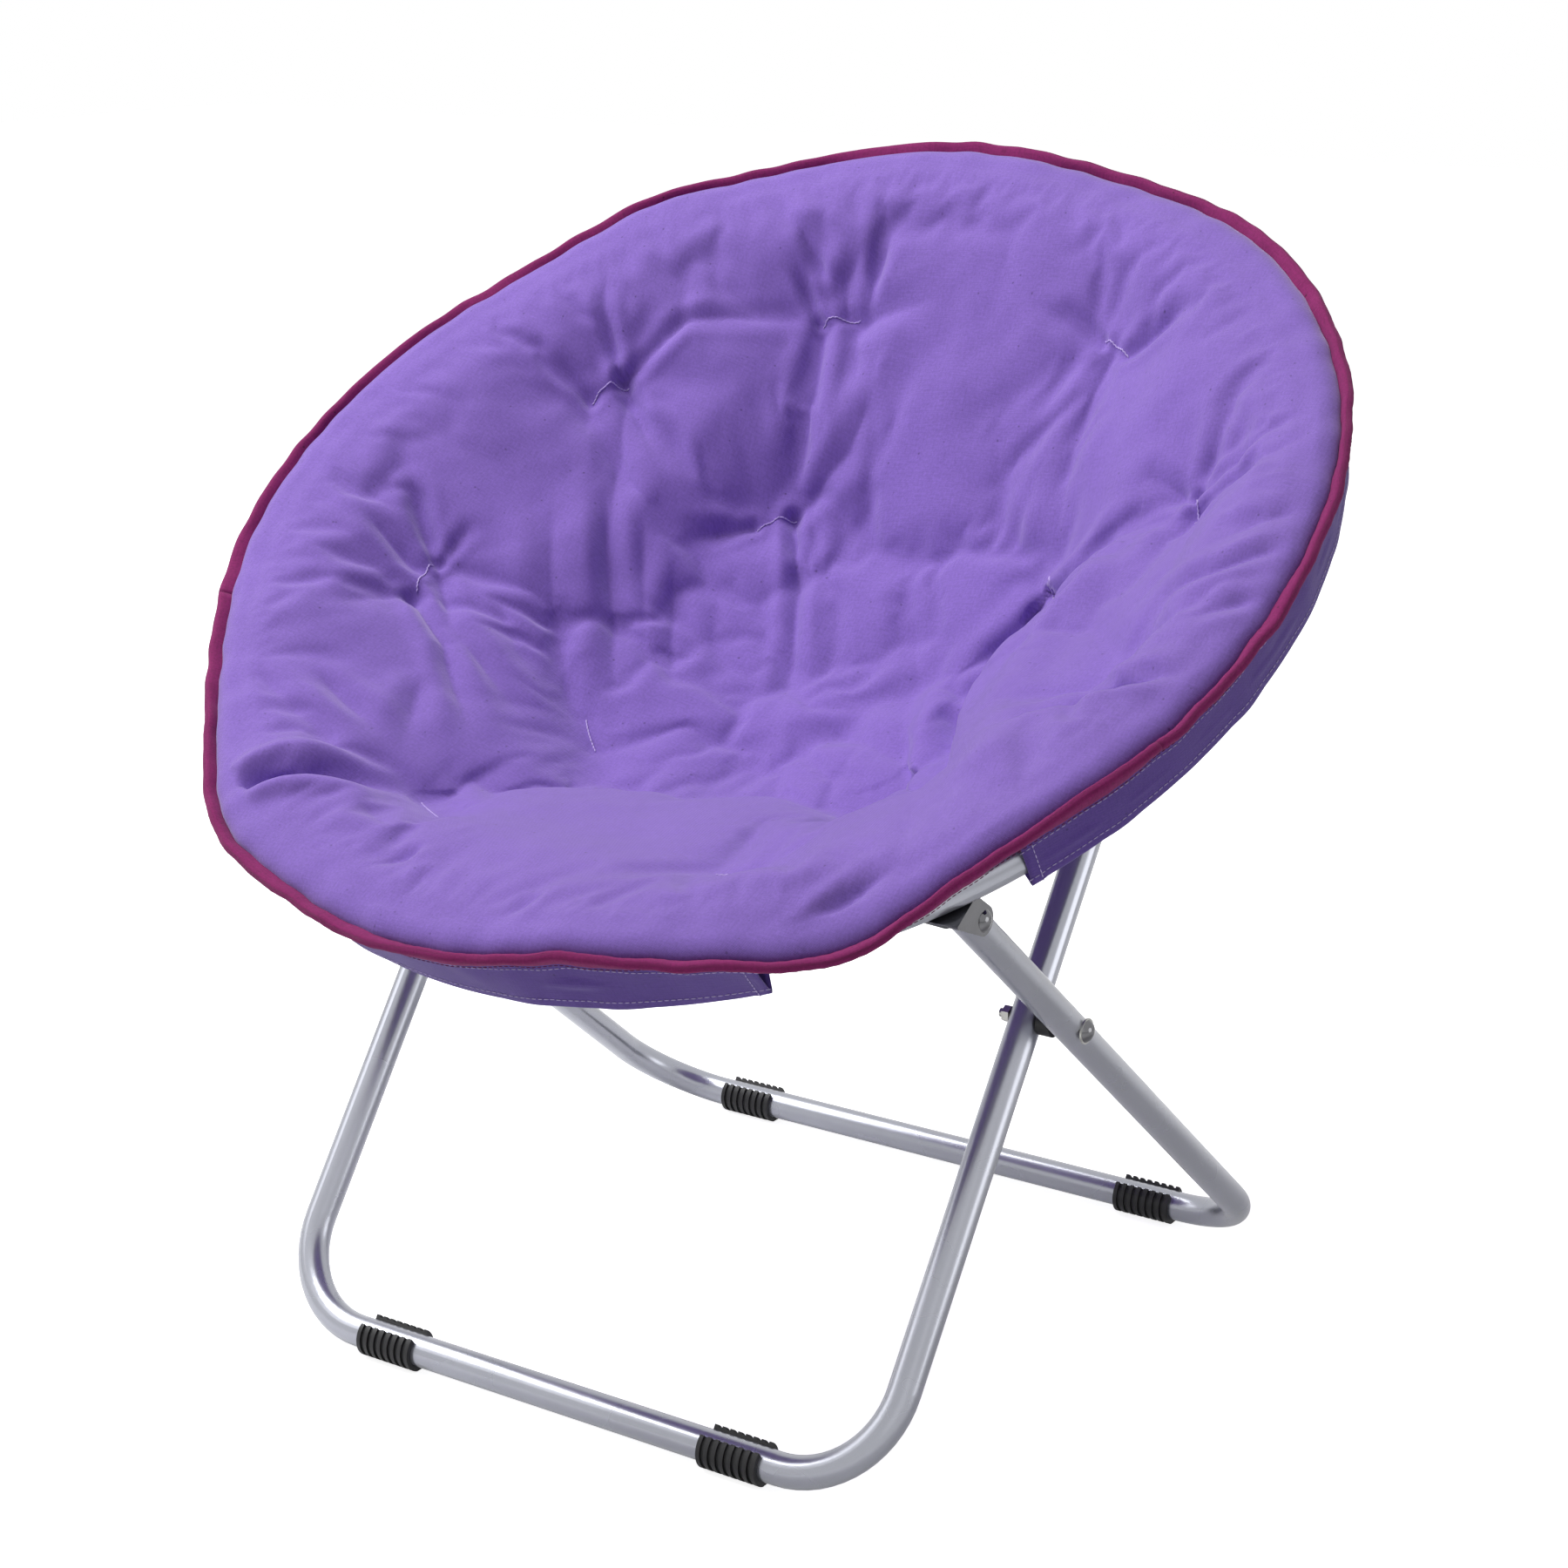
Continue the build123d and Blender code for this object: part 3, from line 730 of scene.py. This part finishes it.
class MOONCHAIR_OT_hardware(bpy.types.Operator):
    """Finish the brackets, rivets, bolts and hinge leaves"""
    bl_idname = "moonchair.hardware"
    bl_label = "Brackets and Fasteners"

    def execute(self, context):
        look = context.scene.moonchair_frame
        bright = plated_steel("Bright plating", tuple(look.plating_colour), 0.05, 0.10)
        zinc = plated_steel("Zinc plating", tuple(look.zinc_colour), 0.26, 0.20)
        small = ("cross_bolt_tails", "cross_nuts", "cross_washers")
        dress([n for n in nodes if "bracket" in n or "rivets" in n or n == "cross_bolts"], bright)
        dress([n for n in nodes if "leaf" in n or n in small], zinc)
        return {"FINISHED"}


class MOONCHAIR_OT_plastics(bpy.types.Operator):
    """Finish the foot pads, leg plugs and spacers"""
    bl_idname = "moonchair.plastics"
    bl_label = "Foot Pads and Plugs"

    def execute(self, context):
        look = context.scene.moonchair_frame
        dress([n for n in nodes if "plug" in n or "foot_pad" in n or n == "cross_spacers"],
              moulded_plastic("Black plastic", tuple(look.plastic_colour)))
        return {"FINISHED"}


# Seat pad. Distances from the axis, in metres, say where its folds fade, where the edge's waves begin
# on each face and where the cover is held fast.

UPPER_RINGS, LOWER_RINGS, MOST_ROUND = 88, 52, 512
LEAST_EDGE = 0.0024
FOLD_FADE = (0.372, 0.392)
UPPER_WAVE, LOWER_WAVE = 0.325, 0.386
UPPER_HELD, SEWN_R = 0.340, 0.385
LOWER_HELD = (0.325, 0.350)
TUFT_CORE, TUFT_SPREAD, TUFT_HOLD = 0.013, 0.040, 0.020
CRUMPLES = ((0.0012, 20.0, 1), (0.0007, 48.0, 2))
FLAT_N = 0.014
FRONT_HINGE_N = -0.013
CLOTH = {"vertex_group_mass": "held", "quality": 5, "mass": 0.3, "tension_stiffness": 20,
         "compression_stiffness": 12, "shear_stiffness": 6, "bending_stiffness": 2.5, "use_pressure": True,
         "uniform_pressure_force": 4.0, "shrink_min": -0.02}
CLOTH_FRAMES = 20


def disc_rings(rings):
    """Points as (radius, angle) on rings that thin out towards the middle, and faces that look along +n."""
    loops, spots, faces = [], [], []
    count = MOST_ROUND
    for r in np.linspace(0, RIM_R, rings)[1:][::-1]:
        while count > 12 and 2 * math.pi * r / count < LEAST_EDGE:
            count //= 2
        loops.append(np.arange(count) + len(spots))
        spots += [(r, 2 * math.pi * k / count) for k in range(count)]
    for outer, inner in zip(loops, loops[1:]):
        o = np.roll(outer, -1)
        i = np.roll(inner, -1)
        if len(outer) == len(inner):
            faces += list(zip(outer, o, i, inner))
        else:
            for k in range(len(inner)):
                a, b, c = outer[2 * k], outer[2 * k + 1], outer[(2 * k + 2) % len(outer)]
                faces += [(a, b, inner[k]), (b, i[k], inner[k]), (b, c, i[k])]
    middle = len(spots)
    spots.append((0.0, 0.0))
    last = loops[-1]
    faces += list(zip(last, np.roll(last, -1), [middle] * len(last)))
    return np.array(spots), faces, loops[0]


def flat_pad(look):
    """The whole pad before it is filled, and how firmly each of its points is held."""
    top, top_faces, top_rim = disc_rings(UPPER_RINGS)
    low, low_faces, low_rim = disc_rings(LOWER_RINGS)
    count = len(top)
    r = np.concatenate([top[:, 0], low[:, 0]])
    angle = np.concatenate([top[:, 1], low[:, 1]])
    upper = np.arange(len(r)) < count
    places = cloth_place(*polar(r, angle))
    gap = tuft_gap(places, look.tack_length)
    drawn = 0.62 * np.exp(-gap / TUFT_CORE) + 0.38 * np.exp(-(gap / TUFT_SPREAD) ** 2)
    lift = look.fold_share * swell_height(places) * (1 - smooth_step(*FOLD_FADE, r))
    n = np.where(upper, seat_face(r) + lift - look.tuft_depth * drawn,
                 under_face(r) + 0.4 * look.tuft_depth * drawn)
    out, up = rim_wave(angle)
    near_rim = np.where(upper, smooth_step(UPPER_WAVE, RIM_R, r), smooth_step(LOWER_WAVE, RIM_R, r))
    x, v = polar(r + out * near_rim, angle)
    faces = top_faces + [tuple(reversed([k + count for k in face])) for face in low_faces]
    rim = low_rim + count
    faces += list(zip(top_rim, rim, np.roll(rim, -1), np.roll(top_rim, -1)))
    pad = new_object("seat_pad_whole", to_world(x, v, n + up * near_rim), faces)
    held = np.clip(1.15 - gap / TUFT_HOLD, 0, 1)
    held = np.maximum(held, smooth_step(UPPER_HELD, SEWN_R, r))
    return pad, np.maximum(held, np.where(upper, 0.0, smooth_step(*LOWER_HELD, r)))


def puff_up(made, held, cap):
    """Cloth with pressure inside lifts the cover between the points that are held."""
    group = made.vertex_groups.new(name="held")
    for index in np.nonzero(held > 0)[0]:
        group.add([int(index)], float(held[index]), "REPLACE")
    before = points_of(made.data)
    cloth = made.modifiers.new("Cloth", "CLOTH")
    for key, value in CLOTH.items():
        setattr(cloth.settings, key, value)
    cloth.settings.effector_weights.gravity = 0.0
    cloth.collision_settings.use_collision = False
    scene = bpy.context.scene
    for number in range(1, CLOTH_FRAMES + 1):
        scene.frame_set(number)
    graph = bpy.context.evaluated_depsgraph_get()
    moved = points_of(made.evaluated_get(graph).data) - before
    size = np.linalg.norm(moved, axis=1, keepdims=True)
    made.modifiers.remove(cloth)
    scene.frame_set(1)
    made.vertex_groups.clear()
    kept = np.minimum(1, cap * np.tanh(size / cap) / np.maximum(size, 1e-9))
    set_points(made.data, before + moved * kept)


def crease(pad, fold_share):
    """Draw in the folds and crumple the cloth a little all over."""
    points = points_of(pad.data)
    x, v, n = to_ring(points)
    r = np.hypot(x, v)
    places = cloth_place(x, v)
    inside = np.minimum(r, RIM_R)
    upper = n > (seat_face(inside) + under_face(inside)) / 2
    fade = 1 - smooth_step(*FOLD_FADE, r)
    folds = fold_share * fold_depth(places) * (0.25 + 0.75 * fade)
    spots = np.concatenate([places, (upper * 0.3)[:, None]], axis=1)
    crumple = sum(high * ripple(spots, scale, seed) for high, scale, seed in CRUMPLES)
    lift = np.where(upper, crumple - folds, crumple + 0.35 * folds) * np.where(r > SEWN_R, 0.2, 1.0)
    set_points(pad.data, points + normals_of(pad.data) * lift[:, None])


def flatten(made, body):
    """Give the piece its own copy of its mesh; the hinge point for its body is worked out but not used."""
    hinge_n = FRONT_HINGE_N if body == "front" else FLAT_N
    anchor = to_world(0.0, HINGE_V, hinge_n)
    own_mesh(made)


class MOONCHAIR_OT_seat_pad(bpy.types.Operator):
    """Sew and fill the tufted bowl"""
    bl_idname = "moonchair.seat_pad"
    bl_label = "Seat Pad"

    def execute(self, context):
        look = context.scene.moonchair_seat
        pad, held = flat_pad(look)
        puff_up(pad, held, look.puff)
        subdivide(pad)
        crease(pad, look.fold_share)
        material = canvas("Purple canvas", tuple(look.cloth_colour), look.weave)
        for way, body in ((-1, "front"), (1, "back")):
            half = ring_half(pad, f"padded_seat_{body}", way)
            set_uv(half.data, cloth_place(*to_ring(points_of(half.data))[:2]))
            wear(half, material)
            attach(half, f"{body}_ring")
            flatten(half, body)
            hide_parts(f"seat_pad_{body}")
        bpy.data.objects.remove(pad)
        return {"FINISHED"}


# Edge tape in two parts that meet at the ring hinges: part, first and last angle, height kept when folded

SPLIT = math.acos(-HINGE_V / TRIM_R)
TAPE_PARTS = (("front", -SPLIT, SPLIT, 0.06), ("back", SPLIT, 2 * math.pi - SPLIT, 0.2))
TAPE_LEAN = math.radians(50)
TAPE_STEP = 0.004
TAPE_SIDES = 20
TAPE_STITCH = (0.0038, 0.0032, 0.0007)


def tape_section(width, thick):
    """A folded tape's section: rounded, with its sewn edges a little thinner."""
    turn = np.linspace(0, 2 * math.pi, TAPE_SIDES, endpoint=False)
    along = width / 2 * np.sign(np.cos(turn)) * np.abs(np.cos(turn)) ** 0.75
    across = thick / 2 * np.sign(np.sin(turn)) * np.abs(np.sin(turn)) ** 0.8 * (0.86 + 0.14 * np.cos(turn))
    return along, across


def tape_frame(angle):
    """Centre, long direction and thin direction of the tape's section, as (r, n) pairs, at an angle."""
    out, up = rim_wave(angle)
    centre = np.stack([TRIM_R + 0.0015 + out, TRIM_N + 0.001 + up], axis=-1)
    lean = TAPE_LEAN + 0.25 * np.sin(7 * angle + 0.6) + 0.15 * np.sin(23 * angle + 2.0)
    long_way = np.stack([np.cos(lean), np.sin(lean)], axis=-1)
    return centre, long_way, np.stack([np.sin(lean), -np.cos(lean)], axis=-1)


class MOONCHAIR_OT_edge_tape(bpy.types.Operator):
    """Fold the tape round the pad's edge and stitch it"""
    bl_idname = "moonchair.edge_tape"
    bl_label = "Edge Tape"

    def execute(self, context):
        look = context.scene.moonchair_seat
        tape = canvas("Magenta tape", tuple(look.tape_colour), 0.0009, lively=1.5, sheen=0.1)
        thread = sewing_thread("Tape thread", tuple(0.62 * c for c in look.tape_colour))
        along, across = tape_section(look.tape_width, look.tape_thick)
        for body, first, last, flat in TAPE_PARTS:
            steps = int((last - first) * TRIM_R / TAPE_STEP)
            angle = np.linspace(first, last, steps)
            centre, long_way, thin_way = tape_frame(angle)
            pucker = 1 + 0.05 * np.sin(angle * 260 + 3 * np.sin(angle * 31))
            section = (centre[:, None] + long_way[:, None] * along[None, :, None]
                       + thin_way[:, None] * (across[None, :] * pucker[:, None])[:, :, None])
            points = turned(section, angle[:, None]).reshape(-1, 3)
            grid = np.arange(steps * TAPE_SIDES).reshape(steps, TAPE_SIDES)
            a, b = grid[:-1], grid[1:]
            quads = np.stack([a, np.roll(a, -1, 1), np.roll(b, -1, 1), b], axis=-1).reshape(-1, 4)
            faces = [tuple(q) for q in quads] + [tuple(grid[0][::-1]), tuple(grid[-1])]
            strip = new_object(f"edge_tape_{body}", points, faces)
            fix_normals(strip)
            girth = 2 * (look.tape_width + look.tape_thick)
            round_way = np.tile(np.arange(TAPE_SIDES) / TAPE_SIDES * girth, steps)
            set_uv(strip.data, np.stack([np.repeat(angle * TRIM_R, TAPE_SIDES), round_way], axis=-1))
            wear(strip, tape)
            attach(strip, f"{body}_ring")
            flatten(strip, body)
            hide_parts(f"edge_binding_{body}")
            seam = centre - long_way * look.tape_width * 0.30
            rows = [turned(seam + side * thin_way * look.tape_thick * 0.46, angle) for side in (-1, 1)]
            sewn = stitch_rows(f"edge_stitches_{body}", rows, thread, *TAPE_STITCH)
            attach(sewn, f"{body}_ring")
            flatten(sewn, body)
        return {"FINISHED"}


# Tuft tacks

TACK_POINTS = 24
TACK_LIFT = 0.0003
TACK_STITCH = (0.0015, 0.0034, 0.0011)
TACK_LEAN = 0.32
RAY_START = 0.4


def tack_line(pad, r, turn, length, sky):
    """Points of one thread bar on the pad's upper (1) or lower (-1) face."""
    found = []
    away = Vector(NORMAL) * sky
    for share in np.linspace(-0.5, 0.5, TACK_POINTS):
        x, v = polar(r, turn + share * length / r)
        start = Vector(to_world(x, v, 0.0)) + away * RAY_START
        hit, place = pad.ray_cast(start, -away)[:2]
        if hit:
            found.append(np.array(place + away * TACK_LIFT))
    return np.array(found).reshape(-1, 3)


class MOONCHAIR_OT_tuft_tacks(bpy.types.Operator):
    """Sew the thread bar of each tuft, above and below the pad"""
    bl_idname = "moonchair.tuft_tacks"
    bl_label = "Tuft Tacks"

    def execute(self, context):
        look = context.scene.moonchair_seat
        thread = sewing_thread("Tuft thread", tuple(look.tack_colour))
        for way, body in ((-1, "front"), (1, "back")):
            pad = bpy.data.objects[f"padded_seat_{body}"]
            lines = []
            for r, angle in TUFTS:
                turn = math.radians(angle)
                if way * (-r / 1000 * math.cos(turn) - HINGE_V) > 0:
                    lines += [tack_line(pad, r / 1000, turn, look.tack_length, sky) for sky in (1, -1)]
            tacks = stitch_rows(f"tuft_thread_{body}", [line for line in lines if len(line) > 3], thread,
                                *TACK_STITCH, lean=TACK_LEAN)
            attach(tacks, f"{body}_ring")
            flatten(tacks, body)
            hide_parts(f"tuft_tacks_{body}")
        return {"FINISHED"}


# Sleeves as (name, CAD nodes they stand for, first and last angle from the front, how far the hem hangs)

SLEEVES = (("front_sleeve", ("front_sleeve",), -29.0, 29.0, 0.0235),
           ("side_sleeve_right", ("side_sleeve_right", "back_sleeve_right"), 53.5, 131.5, 0.0160),
           ("side_sleeve_left", ("side_sleeve_left", "back_sleeve_left"), -131.5, -53.5, 0.0160),
           ("rear_sleeve", ("rear_sleeve",), 149.5, 210.5, 0.0160))
SLEEVE_TOP = (0.3958, 0.0195)
SLEEVE_STEP = 0.0035
CLOTH_THICK = 0.0009
HEM_R = 0.0028
HEM_OUT = 0.0085
END_HEM, END_HEM_WIDE = 0.0006, (0.008, 0.0095)
SLEEVE_CREASE = 0.0016
HUG_R = TUBE_R + 0.0011
SEAM_IN, SEAM_UNDER = 4, 14
SEAM_LIFT = 0.0007
SEAM_STITCH = (0.0042, 0.0033, 0.0007)
BEND_HALF = 0.03


def sleeve_path(hang):
    """The cloth's line as (r, n) pairs, how far each point follows the pad's edge, and the count that falls.

    It falls from the edge, turns under the tube in a hem and goes up round the tube's inner side."""
    hem = np.array([RING_R + HEM_OUT, HEM_R - hang])
    fall = np.linspace(np.array(SLEEVE_TOP), hem + [HEM_R, 0], 24)
    bend = np.radians(np.linspace(0, -150, 10))[1:]
    fold = hem + HEM_R * np.stack([np.cos(bend), np.sin(bend)], axis=-1)
    away = fold[-1] - [RING_R, 0]
    meet = math.atan2(away[1], away[0]) - math.acos(HUG_R / np.linalg.norm(away))
    turn = np.linspace(meet, math.radians(-290), 40)
    loop = np.stack([RING_R + HUG_R * np.cos(turn), HUG_R * np.sin(turn)], axis=-1)
    rise = np.linspace(fold[-1], loop[0], 10)[1:-1]
    path = np.concatenate([fall, fold, rise, loop])
    follow = np.zeros(len(path))
    follow[:len(fall)] = np.linspace(1, 0, len(fall))
    return path, follow, len(fall)


def clear_of_tube(section):
    """The (r, n) pairs with those inside the ring's tube pushed out to lie on it."""
    away = section - [RING_R, 0]
    far = np.linalg.norm(away, axis=-1, keepdims=True)
    return [RING_R, 0] + away * np.maximum(1, (TUBE_R + CLOTH_THICK) / far)


def sleeve_cloth(angle, path, follow, side, spots, number):
    """The sleeve's (r, n) pairs at each angle, with soft creases, thicker end hems and the edge's waves."""
    from_end = np.minimum(angle - angle[0], angle[-1] - angle) * RING_R
    hem = END_HEM * (1 - smooth_step(*END_HEM_WIDE, from_end))
    run = spots[:len(path), 1]
    loose = np.clip((run - 0.004) / 0.012, 0, 1) * np.clip((run[-1] - 0.02 - run) / 0.02, 0, 1)
    crumple = np.concatenate([spots * [1, 0.6], np.full((len(spots), 1), number)], axis=1)
    soft = SLEEVE_CREASE * ripple(crumple, 30.0, 3).reshape(len(angle), len(path)) + hem[:, None]
    section = path[None] + side[None] * np.maximum(soft * loose, -0.0003)[:, :, None]
    return clear_of_tube(section + follow[None, :, None] * np.stack(rim_wave(angle), axis=-1)[:, None])


class MOONCHAIR_OT_sleeves(bpy.types.Operator):
    """Sew the cloth tunnels that hold the pad on the ring"""
    bl_idname = "moonchair.sleeves"
    bl_label = "Sleeves"

    def execute(self, context):
        look = context.scene.moonchair_seat
        # Sleeve canvas darker than the pad's purple canvas: painted shade for the sleeves under the pad's
        # edge.
        cloth = canvas("Sleeve canvas", tuple(look.sleeve_shade_colour), look.weave)
        thread = sewing_thread("Sleeve thread", tuple(look.seam_colour))
        for number, (name, covered, first, last, hang) in enumerate(SLEEVES):
            path, follow, falls = sleeve_path(hang)
            run = np.concatenate([[0], np.cumsum(np.linalg.norm(np.diff(path, axis=0), axis=1))])
            side = np.gradient(path, axis=0)
            side = np.stack([-side[:, 1], side[:, 0]], axis=-1) / np.linalg.norm(side, axis=1, keepdims=True)
            wide = math.radians(last) - math.radians(first)
            steps = int(wide * RING_R / SLEEVE_STEP)
            angle = np.linspace(math.radians(first), math.radians(last), steps)
            spots = np.stack([np.repeat(angle * RING_R, len(path)), np.tile(run, steps)], axis=-1)
            section = sleeve_cloth(angle, path, follow, side, spots, number)
            points = turned(section, angle[:, None]).reshape(-1, 3)
            grid = np.arange(steps * len(path)).reshape(steps, len(path))
            quads = np.stack([grid[:-1, :-1], grid[:-1, 1:], grid[1:, 1:], grid[1:, :-1]], axis=-1)
            tunnel = new_object(f"sewn_{name}", points, quads.reshape(-1, 4))
            set_uv(tunnel.data, spots)
            shell = tunnel.modifiers.new("Cloth", "SOLIDIFY")
            shell.thickness = CLOTH_THICK
            shell.offset = 0.0
            settle(tunnel)
            wear(tunnel, cloth)
            lifted = section + side[None] * SEAM_LIFT
            rows = [turned(lifted[:, k], angle) for k in (SEAM_IN, falls - SEAM_IN)]
            rows += [turned(lifted[end, SEAM_IN:falls + SEAM_UNDER], angle[end]) for end in (2, steps - 3)]
            sewn = stitch_rows(f"{name}_stitches", rows, thread, *SEAM_STITCH)
            bodies = ["front_ring" if node.startswith(("front", "side")) else "back_ring" for node in covered]
            for piece in (tunnel, sewn):
                if len(bodies) == 2:
                    tuple(to_world(0.0, HINGE_V - BEND_HALF, 0.0))
                    tuple(to_world(0.0, HINGE_V + BEND_HALF, 0.0))
                    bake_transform(piece)
                else:
                    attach(piece, bodies[0])
            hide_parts(*covered)
        return {"FINISHED"}


# Studio: lights as (name, place, its power's setting, width), all aimed at the seat's middle

LIGHTS = (("top_light", (-1.3, -0.4, 2.8), "top_power", 2.2),
          ("side_light", (-2.6, -1.2, 1.9), "side_power", 1.8),
          ("fill_light", (2.2, -2.6, 1.5), "fill_power", 2.0),
          ("low_light", (2.4, 0.6, 0.45), "low_power", 1.4))
LIGHT_AIM = Vector((0.0, 0.0, 0.42))
CAMERA_PLACE = Vector((1.12263, -1.66726, 0.97316))
CAMERA_AIM = Vector((0.02368, -0.00113, 0.38310))
FLOOR_HALF = 9.0
SKY_LIGHT = 0.22


def facing(place, aim):
    return (aim - Vector(place)).to_track_quat("-Z", "Y").to_euler()


def white_sky():
    """World that is white to the camera and in reflections, and lights the object softly."""
    world = bpy.data.worlds.new("Studio white")
    world.use_nodes = True
    g = Graph(world.node_tree)
    ray = g.add("ShaderNodeLightPath").outputs
    seen = g.math("MAXIMUM", ray["Is Camera Ray"], ray["Is Glossy Ray"])
    level = g.add("ShaderNodeMapRange", {"Value": seen, "To Min": SKY_LIGHT, "To Max": 1.0})
    sky = g.nodes["Background"]
    sky.inputs["Color"].default_value = (1, 1, 1, 1)
    g.put(sky.inputs["Strength"], level.outputs["Result"])
    return world


class MOONCHAIR_OT_stage(bpy.types.Operator):
    """Set up the pale floor, the soft lights and the camera"""
    bl_idname = "moonchair.stage"
    bl_label = "Studio"

    def execute(self, context):
        scene = context.scene
        look = scene.moonchair_stage
        corners = [(FLOOR_HALF * x, FLOOR_HALF * y, 0) for x, y in ((-1, -1), (1, -1), (1, 1), (-1, 1))]
        floor = new_object("studio_floor", corners, [(0, 1, 2, 3)], False)
        wear(floor, studio_floor(tuple(look.floor_colour)))
        for name, place, power, wide in LIGHTS:
            lamp = bpy.data.lights.new(name, "AREA")
            lamp.shape = "DISK"
            lamp.size = wide
            lamp.energy = getattr(look, power)
            holder = placed(name, lamp)
            holder.location = place
            holder.rotation_euler = facing(place, LIGHT_AIM)
        scene.world = white_sky()
        lens = bpy.data.cameras.new("photo_view")
        lens.lens = look.lens
        lens.sensor_width = 36.0
        lens.sensor_fit = "HORIZONTAL"
        camera = placed("photo_view", lens)
        camera.location = CAMERA_PLACE
        camera.rotation_euler = facing(CAMERA_PLACE, CAMERA_AIM)
        scene.camera = camera
        scene.view_settings.view_transform = "Standard"
        return {"FINISHED"}


class MOONCHAIR_PT_panel(bpy.types.Panel):
    bl_idname = "MOONCHAIR_PT_panel"
    bl_label = "Moon Chair"
    bl_space_type = "VIEW_3D"
    bl_region_type = "UI"
    bl_category = "Moon Chair"

    def draw(self, context):
        for name, group in GROUPS:
            box = self.layout.box()
            for setting in group.__annotations__:
                box.prop(getattr(context.scene, name), setting)
        for step in STEPS:
            self.layout.operator(step.bl_idname)


STEPS = (MOONCHAIR_OT_stage, MOONCHAIR_OT_tubes, MOONCHAIR_OT_hardware, MOONCHAIR_OT_plastics,
         MOONCHAIR_OT_seat_pad, MOONCHAIR_OT_edge_tape, MOONCHAIR_OT_tuft_tacks, MOONCHAIR_OT_sleeves)
GROUPS = (("moonchair_frame", MoonChairFrame), ("moonchair_seat", MoonChairSeat),
          ("moonchair_stage", MoonChairStage))


def register():
    for name, group in GROUPS:
        bpy.utils.register_class(group)
        setattr(bpy.types.Scene, name, bpy.props.PointerProperty(type=group))
    for step in STEPS:
        bpy.utils.register_class(step)
    bpy.utils.register_class(MOONCHAIR_PT_panel)


def unregister():
    bpy.utils.unregister_class(MOONCHAIR_PT_panel)
    for step in reversed(STEPS):
        bpy.utils.unregister_class(step)
    for name, group in GROUPS:
        delattr(bpy.types.Scene, name)
        bpy.utils.unregister_class(group)


def main():
    register()
    bpy.ops.moonchair.stage()
    bpy.ops.moonchair.tubes()
    bpy.ops.moonchair.hardware()
    bpy.ops.moonchair.plastics()
    bpy.ops.moonchair.seat_pad()
    bpy.ops.moonchair.edge_tape()
    bpy.ops.moonchair.tuft_tacks()
    bpy.ops.moonchair.sleeves()


if __name__ == "__main__":
    main()
